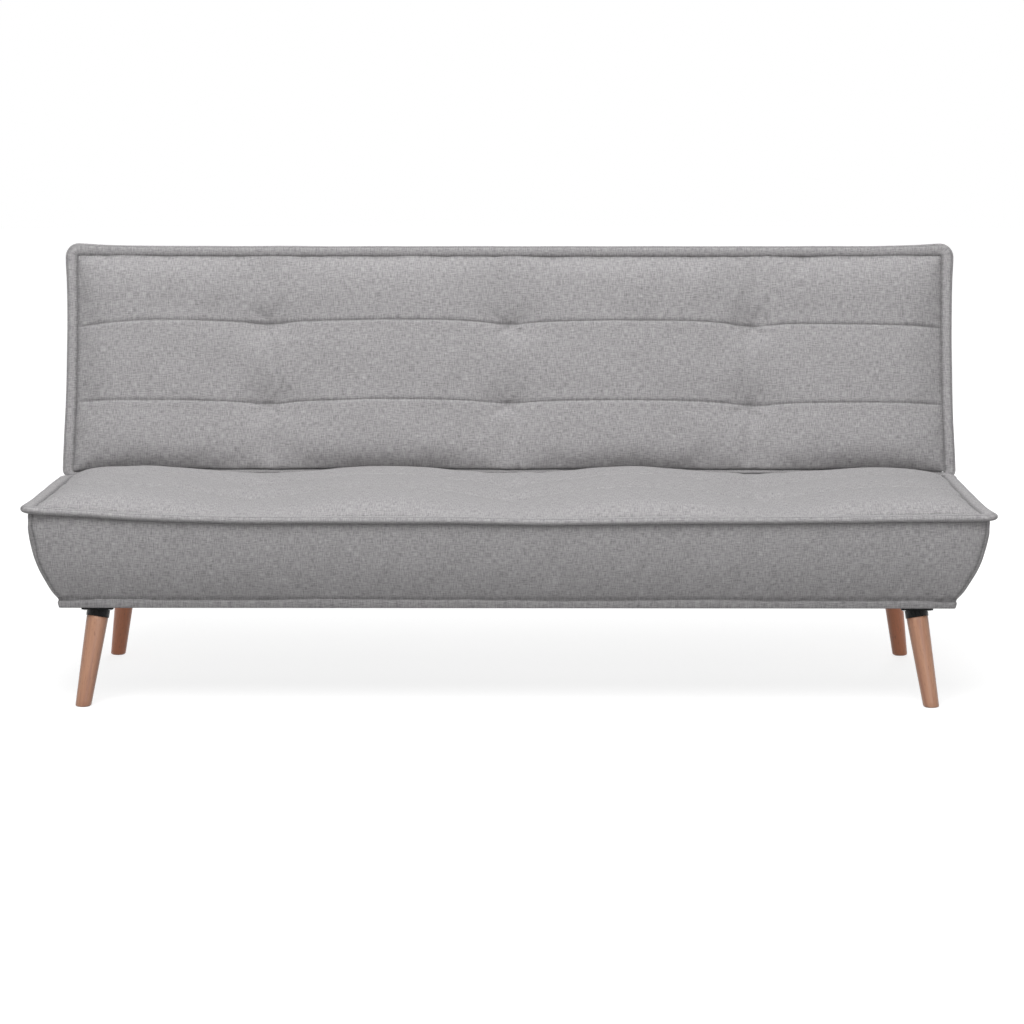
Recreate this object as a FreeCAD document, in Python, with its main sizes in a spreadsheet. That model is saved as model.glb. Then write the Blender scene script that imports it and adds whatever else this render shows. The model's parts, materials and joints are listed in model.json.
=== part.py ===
"""Click-clack sofa bed: an armless upholstered sofa whose back folds down behind the seat.

Seat and back are two pads built alike. Each is modelled in its own pad frame, whose X axis
is the hinge axis, whose Y axis runs from the hinge across the pad, and whose Z axis points
out of the sitting side. One placement then puts the seat pad level, turned to face the front,
and another raises the back pad from the flat bed to its upright rest.

The whole part has its origin on the floor at the middle of its outer box, +Z up, with the
front of the sofa towards -Y. Sizes are millimetres and degrees.
"""
import FreeCAD
import Part
import math
import os
import Sketcher

SIZES = (
    ("pad_width", 1820.0, "seat and back, tip to tip of the sewn edges"),
    ("seat_depth", 570.0, "seat, tip to tip of the sewn edges"),
    ("back_length", 470.0, "back, tip to tip of the sewn edges"),
    ("edge_height", 372.0, "middle of the seat's sewn edge above the floor"),
    ("base_height", 186.0, "underside of the seat above the floor"),
    ("fold_angle", 75.0, "back's rest above the flat bed"),
    ("recline_angle", 38.0, "middle notch above the flat bed"),
    ("bed_gap", 32.0, "between the two sewn edges when the bed is flat"),
    ("pivot_drop", 15.0, "hinge axis below the middle of the sewn edges"),
    ("edge_width", 24.0, "sewn edge, tip to its inner groove"),
    ("edge_thick", 14.0, "sewn edge"),
    ("edge_corner", 20.0, "corner radius of the sewn edge in plan"),
    ("edge_bevel", 4.5, "bevel round the sewn edge's rim"),
    ("boxing_inset", 12.0, "boxing inside the tip of the sewn edge"),
    ("boxing_straight", 26.0, "upright part of the boxing under the sewn edge"),
    ("end_taper", 51.0, "boxing drawn in at the two ends"),
    ("far_taper", 26.0, "boxing drawn in along the side away from the hinge"),
    ("groove_rise", 3.0, "crown's start above the middle of the sewn edge"),
    ("crown_rise", 34.0, "crown between tufts above the middle of the sewn edge"),
    ("crown_tufted", 21.0, "crown in line with the tufts"),
    ("seam_rise", 27.0, "cross seams between tufts"),
    ("tuft_rise", 8.0, "cross seams at the tufts"),
    ("near_seam", 155.0, "first cross seam from the tip nearest the hinge"),
    ("far_seam", 315.0, "second cross seam from the tip nearest the hinge"),
    ("tuft_pitch", 493.0, "between tufts along a seam"),
    ("end_fall", 120.0, "crown's fall to the sewn edge at the two ends"),
    ("band_height", 19.0, "fabric band round the base"),
    ("band_thick", 3.0, "fabric band"),
    ("cover_thick", 1.5, "dust cover"),
    ("rail_thick", 25.0, "frame rails"),
    ("rail_height", 60.0, "frame rails"),
    ("bearer_width", 60.0, "hinge bearers"),
    ("bearer_height", 40.0, "hinge bearers and centre rail"),
    ("block_size", 70.0, "corner blocks, along the rails"),
    ("block_height", 25.0, "corner blocks"),
    ("strap_width", 60.0, "elastic webbing"),
    ("strap_thick", 2.0, "elastic webbing"),
    ("strap_space", 200.0, "least between the middles of the cross straps"),
    ("core_thick", 88.0, "foam core"),
    ("core_margin", 22.0, "foam core inside the rails"),
    ("soft_gap", 0.3, "between soft pieces and what they cover"),
    ("plate_size", 60.0, "leg plates, square"),
    ("plate_thick", 3.0, "leg plates"),
    ("plate_margin", 2.0, "leg plates inside the base band, front and rear"),
    ("leg_end_inset", 74.0, "middle of the leg plates from the ends of the base band"),
    ("splay_out", 28.0, "leg's foot beyond its top, towards the ends"),
    ("splay_across", 40.0, "leg's foot beyond its top, front and rear"),
    ("leg_top", 41.0, "leg diameter in its socket"),
    ("leg_foot", 30.0, "leg diameter at the floor"),
    ("socket_depth", 31.0, "socket along the leg"),
    ("socket_wall", 1.2, "socket"),
    ("socket_web", 9.0, "top of the leg below the plate's upper face, along the leg"),
    ("leg_gap", 0.1, "between leg and socket"),
    ("glide_radius", 12.0, "glides"),
    ("glide_thick", 3.0, "glides"),
    ("hinge_inset", 147.0, "seat arms of the hinges inside the ends of the base band"),
    ("arm_thick", 5.0, "hinge arms"),
    ("arm_head", 14.0, "radius of the arms' heads, half the width of their shanks"),
    ("arm_foot", 26.0, "height of the arms under their plates"),
    ("arm_bend", 26.0, "outer radius where shank and foot meet"),
    ("arm_length", 180.0, "arms from the hinge axis to the end of the foot"),
    ("arm_plate_start", 36.0, "mounting plates from the hinge axis"),
    ("arm_plate_width", 42.0, "mounting plates"),
    ("arm_plate_thick", 4.0, "mounting plates"),
    ("cutout_gap", 2.0, "dust cover round the mounting plates"),
    ("pin_radius", 5.0, "hinge pins"),
    ("pin_gap", 0.05, "running clearance round the hinge pins"),
    ("pin_head_radius", 10.0, "heads of the hinge pins"),
    ("pin_head_height", 4.0, "heads of the hinge pins"),
    ("nut_radius", 8.5, "hinge nuts, across the corners"),
    ("nut_height", 7.0, "hinge nuts"),
    ("arm_gap", 0.5, "between ratchet, back arm and nut"),
    ("ratchet_radius", 19.0, "ratchet discs"),
    ("ratchet_thick", 6.0, "ratchet discs"),
    ("notch_radius", 2.6, "notches in the ratchet discs"),
    ("nose_radius", 2.3, "noses of the click springs"),
    ("nose_angle", 10.0, "noses below the level of the hinge axis"),
    ("leaf_stand", 21.6, "leaf springs from the hinge axis"),
    ("leaf_thick", 1.6, "leaf springs"),
    ("leaf_width", 5.0, "leaf springs"),
    ("leaf_length", 90.0, "leaf springs below the hinge axis"),
    ("leaf_top", 1.0, "leaf springs above the hinge axis"),
    ("block_top", 64.0, "spring blocks below the hinge axis"),
    ("block_width", 16.0, "spring blocks across the arm"),
)

# The crown's slices: how many from one tuft to the next, where they fall at the ends as
# shares of the end fall, how full the last one stays, and how narrow a tuft's pull is
STEPS_PER_TUFT = 8
END_SHARES = (0.8, 0.55, 0.32, 0.14)
END_FULLNESS = 0.06
TUFT_SHARPNESS = 1.4

doc = FreeCAD.newDocument("ClickClackSofa")


class Term:
    """A size worked out from the sheet: its number now, and the expression that drives it."""

    def __init__(self, number, text):
        self.number = number
        self.text = text

    def __add__(self, other):
        other = as_term(other)
        return Term(self.number + other.number, "(" + self.text + " + " + other.text + ")")

    def __sub__(self, other):
        other = as_term(other)
        return Term(self.number - other.number, "(" + self.text + " - " + other.text + ")")

    def __mul__(self, other):
        other = as_term(other)
        return Term(self.number * other.number, "(" + self.text + " * " + other.text + ")")

    def __truediv__(self, other):
        other = as_term(other)
        return Term(self.number / other.number, "(" + self.text + " / " + other.text + ")")

    def __neg__(self):
        return Term(-self.number, "(-" + self.text + ")")


def as_term(value):
    """A bare number as a term."""
    if isinstance(value, Term):
        return value
    return Term(float(value), "({:.10g})".format(float(value)))


def cosine(angle):
    """Cosine of an angle in degrees."""
    return Term(math.cos(math.radians(angle.number)), "cos(" + angle.text + ")")


def sine(angle):
    """Sine of an angle in degrees."""
    return Term(math.sin(math.radians(angle.number)), "sin(" + angle.text + ")")


def root(term):
    """Square root."""
    return Term(math.sqrt(term.number), "sqrt(" + term.text + ")")


def arctangent(term):
    """Angle in degrees whose tangent is the term."""
    number = math.degrees(math.atan(term.number))
    return Term(number, "(atan(" + term.text + ") / 1 deg)")


def make_sheet():
    """The spreadsheet of driving sizes, and a term for each of its cells."""
    sheet = doc.addObject("Spreadsheet::Sheet", "Sizes")
    terms = {}
    for row, (name, number, meaning) in enumerate(SIZES, start=1):
        sheet.set("A%d" % row, name)
        sheet.set("B%d" % row, str(number))
        sheet.setAlias("B%d" % row, name)
        sheet.set("C%d" % row, meaning)
        terms[name] = Term(number, "Sizes." + name)
    doc.recompute()
    return terms


size = make_sheet()
NOUGHT = as_term(0)

# Heights in the pad frame, measured from the hinge axis
edge_middle = size["pivot_drop"]
edge_under = edge_middle - size["edge_thick"] / 2
base_level = edge_middle - (size["edge_height"] - size["base_height"])
floor_level = edge_middle - size["edge_height"]
band_top = base_level + size["band_height"]
frame_level = base_level + size["cover_thick"]
rail_top = frame_level + size["rail_height"]
webbing_top = rail_top + size["strap_thick"] * 2
core_level = webbing_top + size["soft_gap"]
core_top = core_level + size["core_thick"]
plate_level = base_level - size["plate_thick"]
arm_plate_level = frame_level - size["arm_plate_thick"]

# Half widths in the pad frame
tip_half = size["pad_width"] / 2
boxing_half = tip_half - size["boxing_inset"]
band_half = boxing_half - size["end_taper"]
rail_half = band_half - size["band_thick"]
bay_half = rail_half - size["rail_thick"]

# Distances from the hinge axis that both pads share
tip_near = size["bed_gap"] / 2
band_near = tip_near + size["boxing_inset"]
rail_near = band_near + size["band_thick"]
bay_near = rail_near + size["rail_thick"]
crown_near = tip_near + size["edge_width"]

# Legs lean the same way in both pads
leg_run = root(size["splay_out"] * size["splay_out"] + size["splay_across"] * size["splay_across"])
leg_rise = size["base_height"]
leg_length = root(leg_run * leg_run + leg_rise * leg_rise)
leg_tilt = arctangent(leg_run / leg_rise)
leg_x = band_half - size["leg_end_inset"]
mouth = leg_length - size["socket_depth"]

# Planes of one hinge, from the middle of the sofa outwards
hinge_place = band_half - size["hinge_inset"]
ratchet_inner = hinge_place + size["arm_thick"]
back_arm_inner = ratchet_inner + size["ratchet_thick"] + size["arm_gap"]
nut_inner = back_arm_inner + size["arm_thick"] + size["arm_gap"]
seat_arm_middle = hinge_place + size["arm_thick"] / 2
ratchet_middle = ratchet_inner + size["ratchet_thick"] / 2
back_arm_middle = back_arm_inner + size["arm_thick"] / 2

# The rearmost point is the heel of a back leg's glide, which fixes the part's middle
back_far = tip_near + size["back_length"]
back_leg_y = back_far - size["boxing_inset"] - size["far_taper"] - size["plate_margin"] - size["plate_size"] / 2
back_foot_y = back_leg_y + size["splay_across"] + size["glide_radius"]
pivot_s = size["seat_depth"] + tip_near
rearmost = pivot_s + back_foot_y * cosine(size["fold_angle"]) - floor_level * sine(size["fold_angle"])
pivot_y = pivot_s - rearmost / 2
pivot_z = size["edge_height"] - size["pivot_drop"]


class Unit:
    """One pad: its name, its reach from the hinge axis and the placement of its frame."""

    def __init__(self, name, depth, turn, arm_middle):
        self.name = name
        self.tip_far = tip_near + depth
        self.boxing_far = self.tip_far - size["boxing_inset"]
        self.band_far = self.boxing_far - size["far_taper"]
        self.rail_far = self.band_far - size["band_thick"]
        self.bay_far = self.rail_far - size["rail_thick"]
        self.crown_far = self.tip_far - size["edge_width"]
        self.leg_far = self.band_far - size["plate_margin"] - size["plate_size"] / 2
        self.leg_near = band_near + size["plate_margin"] + size["plate_size"] / 2
        self.arm_middle = arm_middle
        pivot = "vector(0; " + pivot_y.text + "; " + pivot_z.text + ")"
        self.placement = "placement(" + pivot + "; " + turn + ")"
        self.near_rail = "rear" if name == "seat" else "bottom"
        self.far_rail = "front" if name == "seat" else "top"
        # Left and right are the sofa's own, as seen from in front; the seat's frame is turned round
        self.low_hand = "right" if name == "seat" else "left"
        self.high_hand = "left" if name == "seat" else "right"


LEVEL_TURN = "rotation(vector(0; 0; 1); 180)"
RAISED_TURN = "rotation(vector(1; 0; 0); " + size["fold_angle"].text + ")"
seat = Unit("seat", size["seat_depth"], LEVEL_TURN, seat_arm_middle)
back = Unit("back", size["back_length"], RAISED_TURN, back_arm_middle)

PIECES = []


def new_body(label, unit, inner=""):
    """A body whose frame is a unit's pad frame, or a frame placed within it."""
    body = doc.addObject("PartDesign::Body", label)
    body.Label = label
    body.setExpression("Placement", unit.placement + inner)
    PIECES.append(body)
    return body


def set_shape(label, unit, shape):
    """A piece whose shape is worked out here, in its unit's pad frame."""
    piece = doc.addObject("Part::Feature", label)
    piece.Label = label
    piece.Shape = shape
    piece.setExpression("Placement", unit.placement)
    PIECES.append(piece)
    return piece


def bind(feature, **terms):
    """Tie a feature's sizes to the sheet."""
    for name, term in terms.items():
        feature.setExpression(name, as_term(term).text)


def place(feature, x, y, z):
    """Tie a feature's corner or centre to the sheet."""
    for axis, term in (("x", x), ("y", y), ("z", z)):
        feature.setExpression("Placement.Base." + axis, as_term(term).text)


def add_box(body, low, high):
    """A block between two corners, fused into the body."""
    feature = body.newObject("PartDesign::AdditiveBox", "Block")
    bind(feature, Length=high[0] - low[0], Width=high[1] - low[1], Height=high[2] - low[2])
    place(feature, *low)
    return feature


def add_cylinder(body, centre, radius, height, cut=False):
    """An upright round bar, or a round hole, from the centre of its lower end."""
    kind = "PartDesign::SubtractiveCylinder" if cut else "PartDesign::AdditiveCylinder"
    feature = body.newObject(kind, "Round")
    bind(feature, Radius=radius, Height=height)
    place(feature, *centre)
    return feature


def add_sketch(body, role, offset=NOUGHT):
    """A sketch on one of the body's own origin planes, moved along the plane's normal."""
    sketch = body.newObject("Sketcher::SketchObject", "Outline")
    plane = [feature for feature in body.Origin.OriginFeatures if feature.Role == role][0]
    sketch.AttachmentSupport = [(plane, "")]
    sketch.MapMode = "FlatFace"
    sketch.setExpression("AttachmentOffset.Base.z", as_term(offset).text)
    return sketch


def tie_point(sketch, edge, point, x, y):
    """Hold one point of a sketch at its two distances from the origin."""
    for kind, term in (("DistanceX", x), ("DistanceY", y)):
        term = as_term(term)
        number = sketch.addConstraint(Sketcher.Constraint(kind, -1, 1, edge, point, term.number))
        sketch.setExpression("Constraints[%d]" % number, term.text)


def draw_outline(sketch, points):
    """A closed run of straight lines through tied points."""
    first = sketch.GeometryCount
    points = [(as_term(x), as_term(y)) for x, y in points]
    places = [FreeCAD.Vector(x.number, y.number, 0) for x, y in points]
    for start, end in zip(places, places[1:] + places[:1]):
        sketch.addGeometry(Part.LineSegment(start, end), False)
    for index in range(len(points)):
        after = first + (index + 1) % len(points)
        sketch.addConstraint(Sketcher.Constraint("Coincident", first + index, 2, after, 1))
    for index, (x, y) in enumerate(points):
        tie_point(sketch, first + index, 1, x, y)


def draw_rectangle(sketch, low, high):
    """A rectangle between two tied corners."""
    corners = [(low[0], low[1]), (high[0], low[1]), (high[0], high[1]), (low[0], high[1])]
    draw_outline(sketch, corners)


def draw_circle(sketch, x, y, radius):
    """A circle with its centre and radius tied."""
    x, y, radius = as_term(x), as_term(y), as_term(radius)
    circle = Part.Circle(FreeCAD.Vector(x.number, y.number, 0), FreeCAD.Vector(0, 0, 1), radius.number)
    edge = sketch.addGeometry(circle, False)
    tie_point(sketch, edge, 3, x, y)
    number = sketch.addConstraint(Sketcher.Constraint("Radius", edge, radius.number))
    sketch.setExpression("Constraints[%d]" % number, radius.text)


def add_pad(body, sketch, thick, middle=False):
    """A sketch raised by its thickness, to one side or to both."""
    pad = body.newObject("PartDesign::Pad", "Pad")
    pad.Profile = sketch
    pad.Midplane = middle
    bind(pad, Length=thick)
    return pad


def add_through_cut(body, sketch, reach):
    """A sketch cut both ways out of the body."""
    pocket = body.newObject("PartDesign::Pocket", "Pocket")
    pocket.Profile = sketch
    pocket.Midplane = True
    bind(pocket, Length=reach)
    return pocket


def round_edges(body, base, radius, wanted):
    """A fillet on the edges of the last feature that a test picks out."""
    doc.recompute()
    names = [name for name, edge in named_edges(base) if wanted(edge)]
    fillet = body.newObject("PartDesign::Fillet", "Fillet")
    fillet.Base = (base, names)
    bind(fillet, Radius=radius)
    return fillet


def bevel_edges(body, base, bevel, wanted):
    """A chamfer on the edges of the last feature that a test picks out."""
    doc.recompute()
    names = [name for name, edge in named_edges(base) if wanted(edge)]
    chamfer = body.newObject("PartDesign::Chamfer", "Chamfer")
    chamfer.Base = (base, names)
    bind(chamfer, Size=bevel)
    return chamfer


def named_edges(base):
    """Every edge of a feature with its name."""
    return [("Edge%d" % index, edge) for index, edge in enumerate(base.Shape.Edges, start=1)]


def is_upright(edge):
    """True for an edge parallel to the pad frame's Z axis."""
    box = edge.BoundBox
    return box.ZLength > 1.0 and box.XLength < 0.01 and box.YLength < 0.01


def tapered_arc(top, bottom):
    """An arc that leaves the top point upright and curves in to the bottom point.

    Points are (across, height). Returns the arc's middle point, the third it needs.
    """
    across = top[0] - bottom[0]
    drop = top[1] - bottom[1]
    radius = (across * across + drop * drop) / (2 * abs(across))
    inward = -1 if across > 0 else 1
    turn = math.asin(drop / radius) / 2
    centre = top[0] + inward * radius
    return (centre - inward * radius * math.cos(turn), top[1] - radius * math.sin(turn))


# Frame: pine rails, hinge bearers, corner blocks and elastic webbing


def make_frame(unit):
    """Four rails, two hinge bearers, a centre rail and the glued corner blocks."""
    rails = {
        unit.near_rail + "_rail": ((-rail_half, rail_near), (rail_half, bay_near)),
        unit.far_rail + "_rail": ((-rail_half, unit.bay_far), (rail_half, unit.rail_far)),
        unit.low_hand + "_rail": ((-rail_half, bay_near), (-bay_half, unit.bay_far)),
        unit.high_hand + "_rail": ((bay_half, bay_near), (rail_half, unit.bay_far)),
    }
    for name, (low, high) in rails.items():
        body = new_body(unit.name + "_" + name, unit)
        add_box(body, (low[0], low[1], frame_level), (high[0], high[1], rail_top))
    bearer_top = frame_level + size["bearer_height"]
    half = size["rail_thick"] / 2
    body = new_body(unit.name + "_centre_rail", unit)
    add_box(body, (-half, bay_near, frame_level), (half, unit.bay_far, bearer_top))
    half = size["bearer_width"] / 2
    for side, hand in ((-1, unit.low_hand), (1, unit.high_hand)):
        middle = unit.arm_middle * side
        body = new_body(unit.name + "_" + hand + "_bearer", unit)
        add_box(body, (middle - half, bay_near, frame_level), (middle + half, unit.bay_far, bearer_top))
    make_corner_blocks(unit)


def make_corner_blocks(unit):
    """Four triangular blocks in the corners of the frame."""
    body = new_body(unit.name + "_corner_blocks", unit)
    sketch = add_sketch(body, "XY_Plane", frame_level)
    for side in (-1, 1):
        for y, inward in ((bay_near, 1), (unit.bay_far, -1)):
            corner = bay_half * side
            along = corner - size["block_size"] * side
            across = y + size["block_size"] * inward
            draw_outline(sketch, [(corner, y), (along, y), (corner, across)])
    add_pad(body, sketch, size["block_height"])


def make_webbing(unit):
    """Straps across the frame from near rail to far rail, and two along it."""
    body = new_body(unit.name + "_webbing", unit)
    half = size["strap_width"] / 2
    count = int(bay_half.number * 2 // size["strap_space"].number)
    level = rail_top
    above = rail_top + size["strap_thick"]
    for index in range(count):
        middle = bay_half * (2.0 * (index + 1) / (count + 1) - 1.0)
        add_box(body, (middle - half, rail_near, level), (middle + half, unit.rail_far, above))
    for share in (1.0 / 3.0, 2.0 / 3.0):
        middle = rail_near + (unit.rail_far - rail_near) * share
        add_box(body, (-rail_half, middle - half, above), (rail_half, middle + half, webbing_top))


# Upholstery: foam core, quilted cushion, sewn edge, base band and dust cover


def make_foam_core(unit):
    """The block of foam on the webbing."""
    margin = size["core_margin"]
    body = new_body(unit.name + "_foam_core", unit)
    low = (margin - rail_half, rail_near + margin, core_level)
    high = (rail_half - margin, unit.rail_far - margin, core_top)
    add_box(body, low, high)


def boxing_shape(unit):
    """The boxing: upright under the sewn edge, then drawn in to the base band on three sides."""
    ledge = edge_under.number
    low = band_top.number
    bend = ledge - size["boxing_straight"].number
    wide, narrow = boxing_half.number, band_half.number
    near, far, far_low = band_near.number, unit.boxing_far.number, unit.band_far.number
    right = tapered_arc((wide, bend), (narrow, low))
    left = (-right[0], right[1])
    ends = profile(
        [(-narrow, low), (narrow, low)],
        [(narrow, low), right, (wide, bend)],
        [(wide, bend), (wide, ledge)],
        [(wide, ledge), (-wide, ledge)],
        [(-wide, ledge), (-wide, bend)],
        [(-wide, bend), left, (-narrow, low)],
    )
    upright = FreeCAD.Rotation(FreeCAD.Vector(1, 0, 0), 90)
    ends.Placement = FreeCAD.Placement(FreeCAD.Vector(0, near, 0), upright)
    ends = Part.Face(ends).extrude(FreeCAD.Vector(0, far - near, 0))
    side = profile(
        [(near, low), (far_low, low)],
        [(far_low, low), tapered_arc((far, bend), (far_low, low)), (far, bend)],
        [(far, bend), (far, ledge)],
        [(far, ledge), (near, ledge)],
        [(near, ledge), (near, low)],
    )
    across = FreeCAD.Rotation(FreeCAD.Vector(0, 1, 0), FreeCAD.Vector(0, 0, 1), FreeCAD.Vector(1, 0, 0))
    side.Placement = FreeCAD.Placement(FreeCAD.Vector(-wide, 0, 0), across)
    side = Part.Face(side).extrude(FreeCAD.Vector(2 * wide, 0, 0))
    return ends.common(side)


def profile(*runs):
    """A closed wire in the XY plane from runs of two points, a line, or three, an arc."""
    edges = []
    for run in runs:
        points = [FreeCAD.Vector(x, y, 0) for x, y in run]
        if len(points) == 2:
            edges.append(Part.LineSegment(*points).toShape())
        else:
            edges.append(Part.Arc(*points).toShape())
    return Part.Wire(edges)


def crown_section(unit, x, fullness, tufted):
    """One slice of the crown across the pad: three arcs that meet at the two seams."""
    ledge = edge_under.number
    groove = (edge_middle + size["groove_rise"]).number
    swell = size["crown_rise"].number - size["groove_rise"].number
    swell -= tufted * (size["crown_rise"] - size["crown_tufted"]).number
    seam = size["seam_rise"].number - size["groove_rise"].number
    seam -= tufted * (size["seam_rise"] - size["tuft_rise"]).number
    top = groove + fullness * swell
    sewn = groove + fullness * seam
    near, far = crown_near.number, unit.crown_far.number
    first = (tip_near + size["near_seam"]).number
    second = (tip_near + size["far_seam"]).number
    section = profile(
        [(near, ledge), (far, ledge)],
        [(far, ledge), (far, groove)],
        [(far, groove), ((far + second) / 2, top), (second, sewn)],
        [(second, sewn), ((second + first) / 2, top), (first, sewn)],
        [(first, sewn), ((first + near) / 2, top), (near, groove)],
        [(near, groove), (near, ledge)],
    )
    across = FreeCAD.Rotation(FreeCAD.Vector(0, 1, 0), FreeCAD.Vector(0, 0, 1), FreeCAD.Vector(1, 0, 0))
    section.Placement = FreeCAD.Placement(FreeCAD.Vector(x, 0, 0), across)
    return section


def crown_shape(unit):
    """The crown, lofted along the pad through slices that swell and dip as the tufts pull them."""
    end = (tip_half - size["edge_width"]).number
    pitch = size["tuft_pitch"].number
    fall = size["end_fall"].number
    step = pitch / STEPS_PER_TUFT
    places = [step * index for index in range(int((end - fall) / step) + 1)]
    places += [end - fall * share for share in END_SHARES]
    places.append(end)
    slices = []
    for x in places:
        fullness = math.sin(min((end - x) / fall, 1.0) * math.pi / 2)
        near_tuft = x < pitch * 1.5
        tufted = (0.5 + 0.5 * math.cos(2 * math.pi * x / pitch)) if near_tuft else 0.0
        slices.append((x, END_FULLNESS + (1.0 - END_FULLNESS) * fullness, tufted ** TUFT_SHARPNESS))
    mirrored = [(-x, fullness, tufted) for x, fullness, tufted in slices[:0:-1]]
    wires = [crown_section(unit, *entry) for entry in mirrored + slices]
    return Part.makeLoft(wires, True, True)


def make_cushion(unit):
    """The quilted cover and its wadding, hollow underneath for the frame and the foam core."""
    gap = size["soft_gap"]
    solid = boxing_shape(unit).fuse(crown_shape(unit))
    frame_low = (-rail_half - gap, rail_near - gap, frame_level)
    frame_high = (rail_half + gap, unit.rail_far + gap, core_level)
    margin = size["core_margin"] - gap
    core_low = (margin - rail_half, rail_near + margin, rail_top)
    core_high = (rail_half - margin, unit.rail_far - margin, core_top + gap)
    for low, high in ((frame_low, frame_high), (core_low, core_high)):
        solid = solid.cut(block(low, high))
    set_shape(unit.name + "_cushion", unit, solid.removeSplitter())


def block(low, high):
    """A plain block between two corners given as terms."""
    low = FreeCAD.Vector(*[term.number for term in low])
    high = FreeCAD.Vector(*[term.number for term in high])
    span = high - low
    return Part.makeBox(span.x, span.y, span.z, low)


def make_sewn_edge(unit):
    """The flat rolled edge that runs round the top panel."""
    body = new_body(unit.name + "_sewn_edge", unit)
    sketch = add_sketch(body, "XY_Plane", edge_under)
    draw_rectangle(sketch, (-tip_half, tip_near), (tip_half, unit.tip_far))
    inner = tip_half - size["edge_width"]
    draw_rectangle(sketch, (-inner, crown_near), (inner, unit.crown_far))
    pad = add_pad(body, sketch, size["edge_thick"])

    def outer_corner(edge):
        return is_upright(edge) and abs(edge.BoundBox.Center.x) > tip_half.number - 0.01

    corners = round_edges(body, pad, size["edge_corner"], outer_corner)

    def outer_rim(edge):
        box = edge.BoundBox
        middle = FreeCAD.Vector(box.Center.x, box.Center.y, 0)
        outside = abs(middle.x) > inner.number + 0.01
        outside = outside or middle.y < crown_near.number - 0.01
        outside = outside or middle.y > unit.crown_far.number + 0.01
        return outside and box.ZLength < 0.01

    bevel_edges(body, corners, size["edge_bevel"], outer_rim)


def make_base_band(unit):
    """The band of fabric round the foot of the frame."""
    body = new_body(unit.name + "_base_band", unit)
    sketch = add_sketch(body, "XY_Plane", base_level)
    draw_rectangle(sketch, (-band_half, band_near), (band_half, unit.band_far))
    draw_rectangle(sketch, (-rail_half, rail_near), (rail_half, unit.rail_far))
    pad = add_pad(body, sketch, size["band_height"])

    def outer_corner(edge):
        return is_upright(edge) and abs(edge.BoundBox.Center.x) > rail_half.number + 0.01

    round_edges(body, pad, size["band_thick"], outer_corner)


def make_dust_cover(unit):
    """The sheet stapled under the frame, cut away round the hinges' mounting plates."""
    body = new_body(unit.name + "_dust_cover", unit)
    sketch = add_sketch(body, "XY_Plane", base_level)
    draw_rectangle(sketch, (-rail_half, rail_near), (rail_half, unit.rail_far))
    half = size["arm_plate_width"] / 2 + size["cutout_gap"]
    for side in (-1, 1):
        middle = unit.arm_middle * side
        low = (middle - half, size["arm_plate_start"] - size["cutout_gap"])
        draw_rectangle(sketch, low, (middle + half, size["arm_length"] + size["cutout_gap"]))
    add_pad(body, sketch, size["cover_thick"])


# Legs, sockets and glides


def place_on_leg(feature, spot, along):
    """Stand a round feature on a leg's axis, some way up from the floor.

    A spot is the place of the leg's top across the pad, its side and the way that it leans.
    """
    y, side, outward = spot
    foot_x = leg_x * side + size["splay_out"] * side
    foot_y = y + size["splay_across"] * outward
    foot = "vector(" + foot_x.text + "; " + foot_y.text + "; " + floor_level.text + ")"
    axis = "vector(" + (size["splay_across"] * outward).text + "; "
    axis += (size["splay_out"] * -side).text + "; 0)"
    lift = " * placement(vector(0; 0; " + as_term(along).text + "); rotation(vector(0; 0; 1); 0))"
    lean = "placement(" + foot + "; rotation(" + axis + "; " + leg_tilt.text + "))"
    feature.setExpression("Placement", lean + lift)


def add_leaning_bar(body, spot, start, end, radius, cut=False):
    """A round bar or hole along a leg's axis."""
    kind = "PartDesign::SubtractiveCylinder" if cut else "PartDesign::AdditiveCylinder"
    bar = body.newObject(kind, "Bar")
    bind(bar, Radius=radius, Height=end - start)
    place_on_leg(bar, spot, start)


def cut_level(body, low, high):
    """Cut everything between two heights away, across the whole pad."""
    reach = size["seat_depth"] + size["back_length"]
    level = body.newObject("PartDesign::SubtractiveBox", "Level")
    bind(level, Length=size["pad_width"], Width=reach * 2, Height=high - low)
    place(level, -tip_half, -reach, low)


def make_legs(unit, spots):
    """Turned legs: a taper up to the socket's mouth, a parallel top, and a foot cut level."""
    body = new_body(unit.name + "_legs", unit)
    foot = size["leg_foot"] / 2
    top = size["leg_top"] / 2
    spare = foot
    slope = (top - foot) / mouth
    for spot in spots:
        taper = body.newObject("PartDesign::AdditiveCone", "Taper")
        bind(taper, Radius1=foot - slope * spare, Radius2=top, Height=mouth + spare)
        place_on_leg(taper, spot, -spare)
        add_leaning_bar(body, spot, mouth, leg_length - size["socket_web"], top)
    cut_level(body, floor_level - size["leg_foot"] * 2, floor_level + size["glide_thick"])


def make_sockets(unit, spots):
    """Leaning steel cups, each closed by the square plate that is screwed under the frame."""
    body = new_body(unit.name + "_sockets", unit)
    bore = size["leg_top"] / 2 + size["leg_gap"]
    half = size["plate_size"] / 2
    for spot in spots:
        add_leaning_bar(body, spot, mouth, leg_length + bore, bore + size["socket_wall"])
    cut_level(body, plate_level + size["plate_thick"] / 2, base_level + size["leg_top"])
    for y, side, outward in spots:
        x = leg_x * side
        add_box(body, (x - half, y - half, plate_level), (x + half, y + half, base_level))
    for spot in spots:
        add_leaning_bar(body, spot, mouth, leg_length - size["socket_web"] + size["leg_gap"], bore, cut=True)


def make_glides(unit, spots):
    """A round glide under each leg."""
    body = new_body(unit.name + "_glides", unit)
    for y, side, outward in spots:
        x = leg_x * side + size["splay_out"] * side
        foot_y = y + size["splay_across"] * outward
        add_cylinder(body, (x, foot_y, floor_level), size["glide_radius"], size["glide_thick"])


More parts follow.
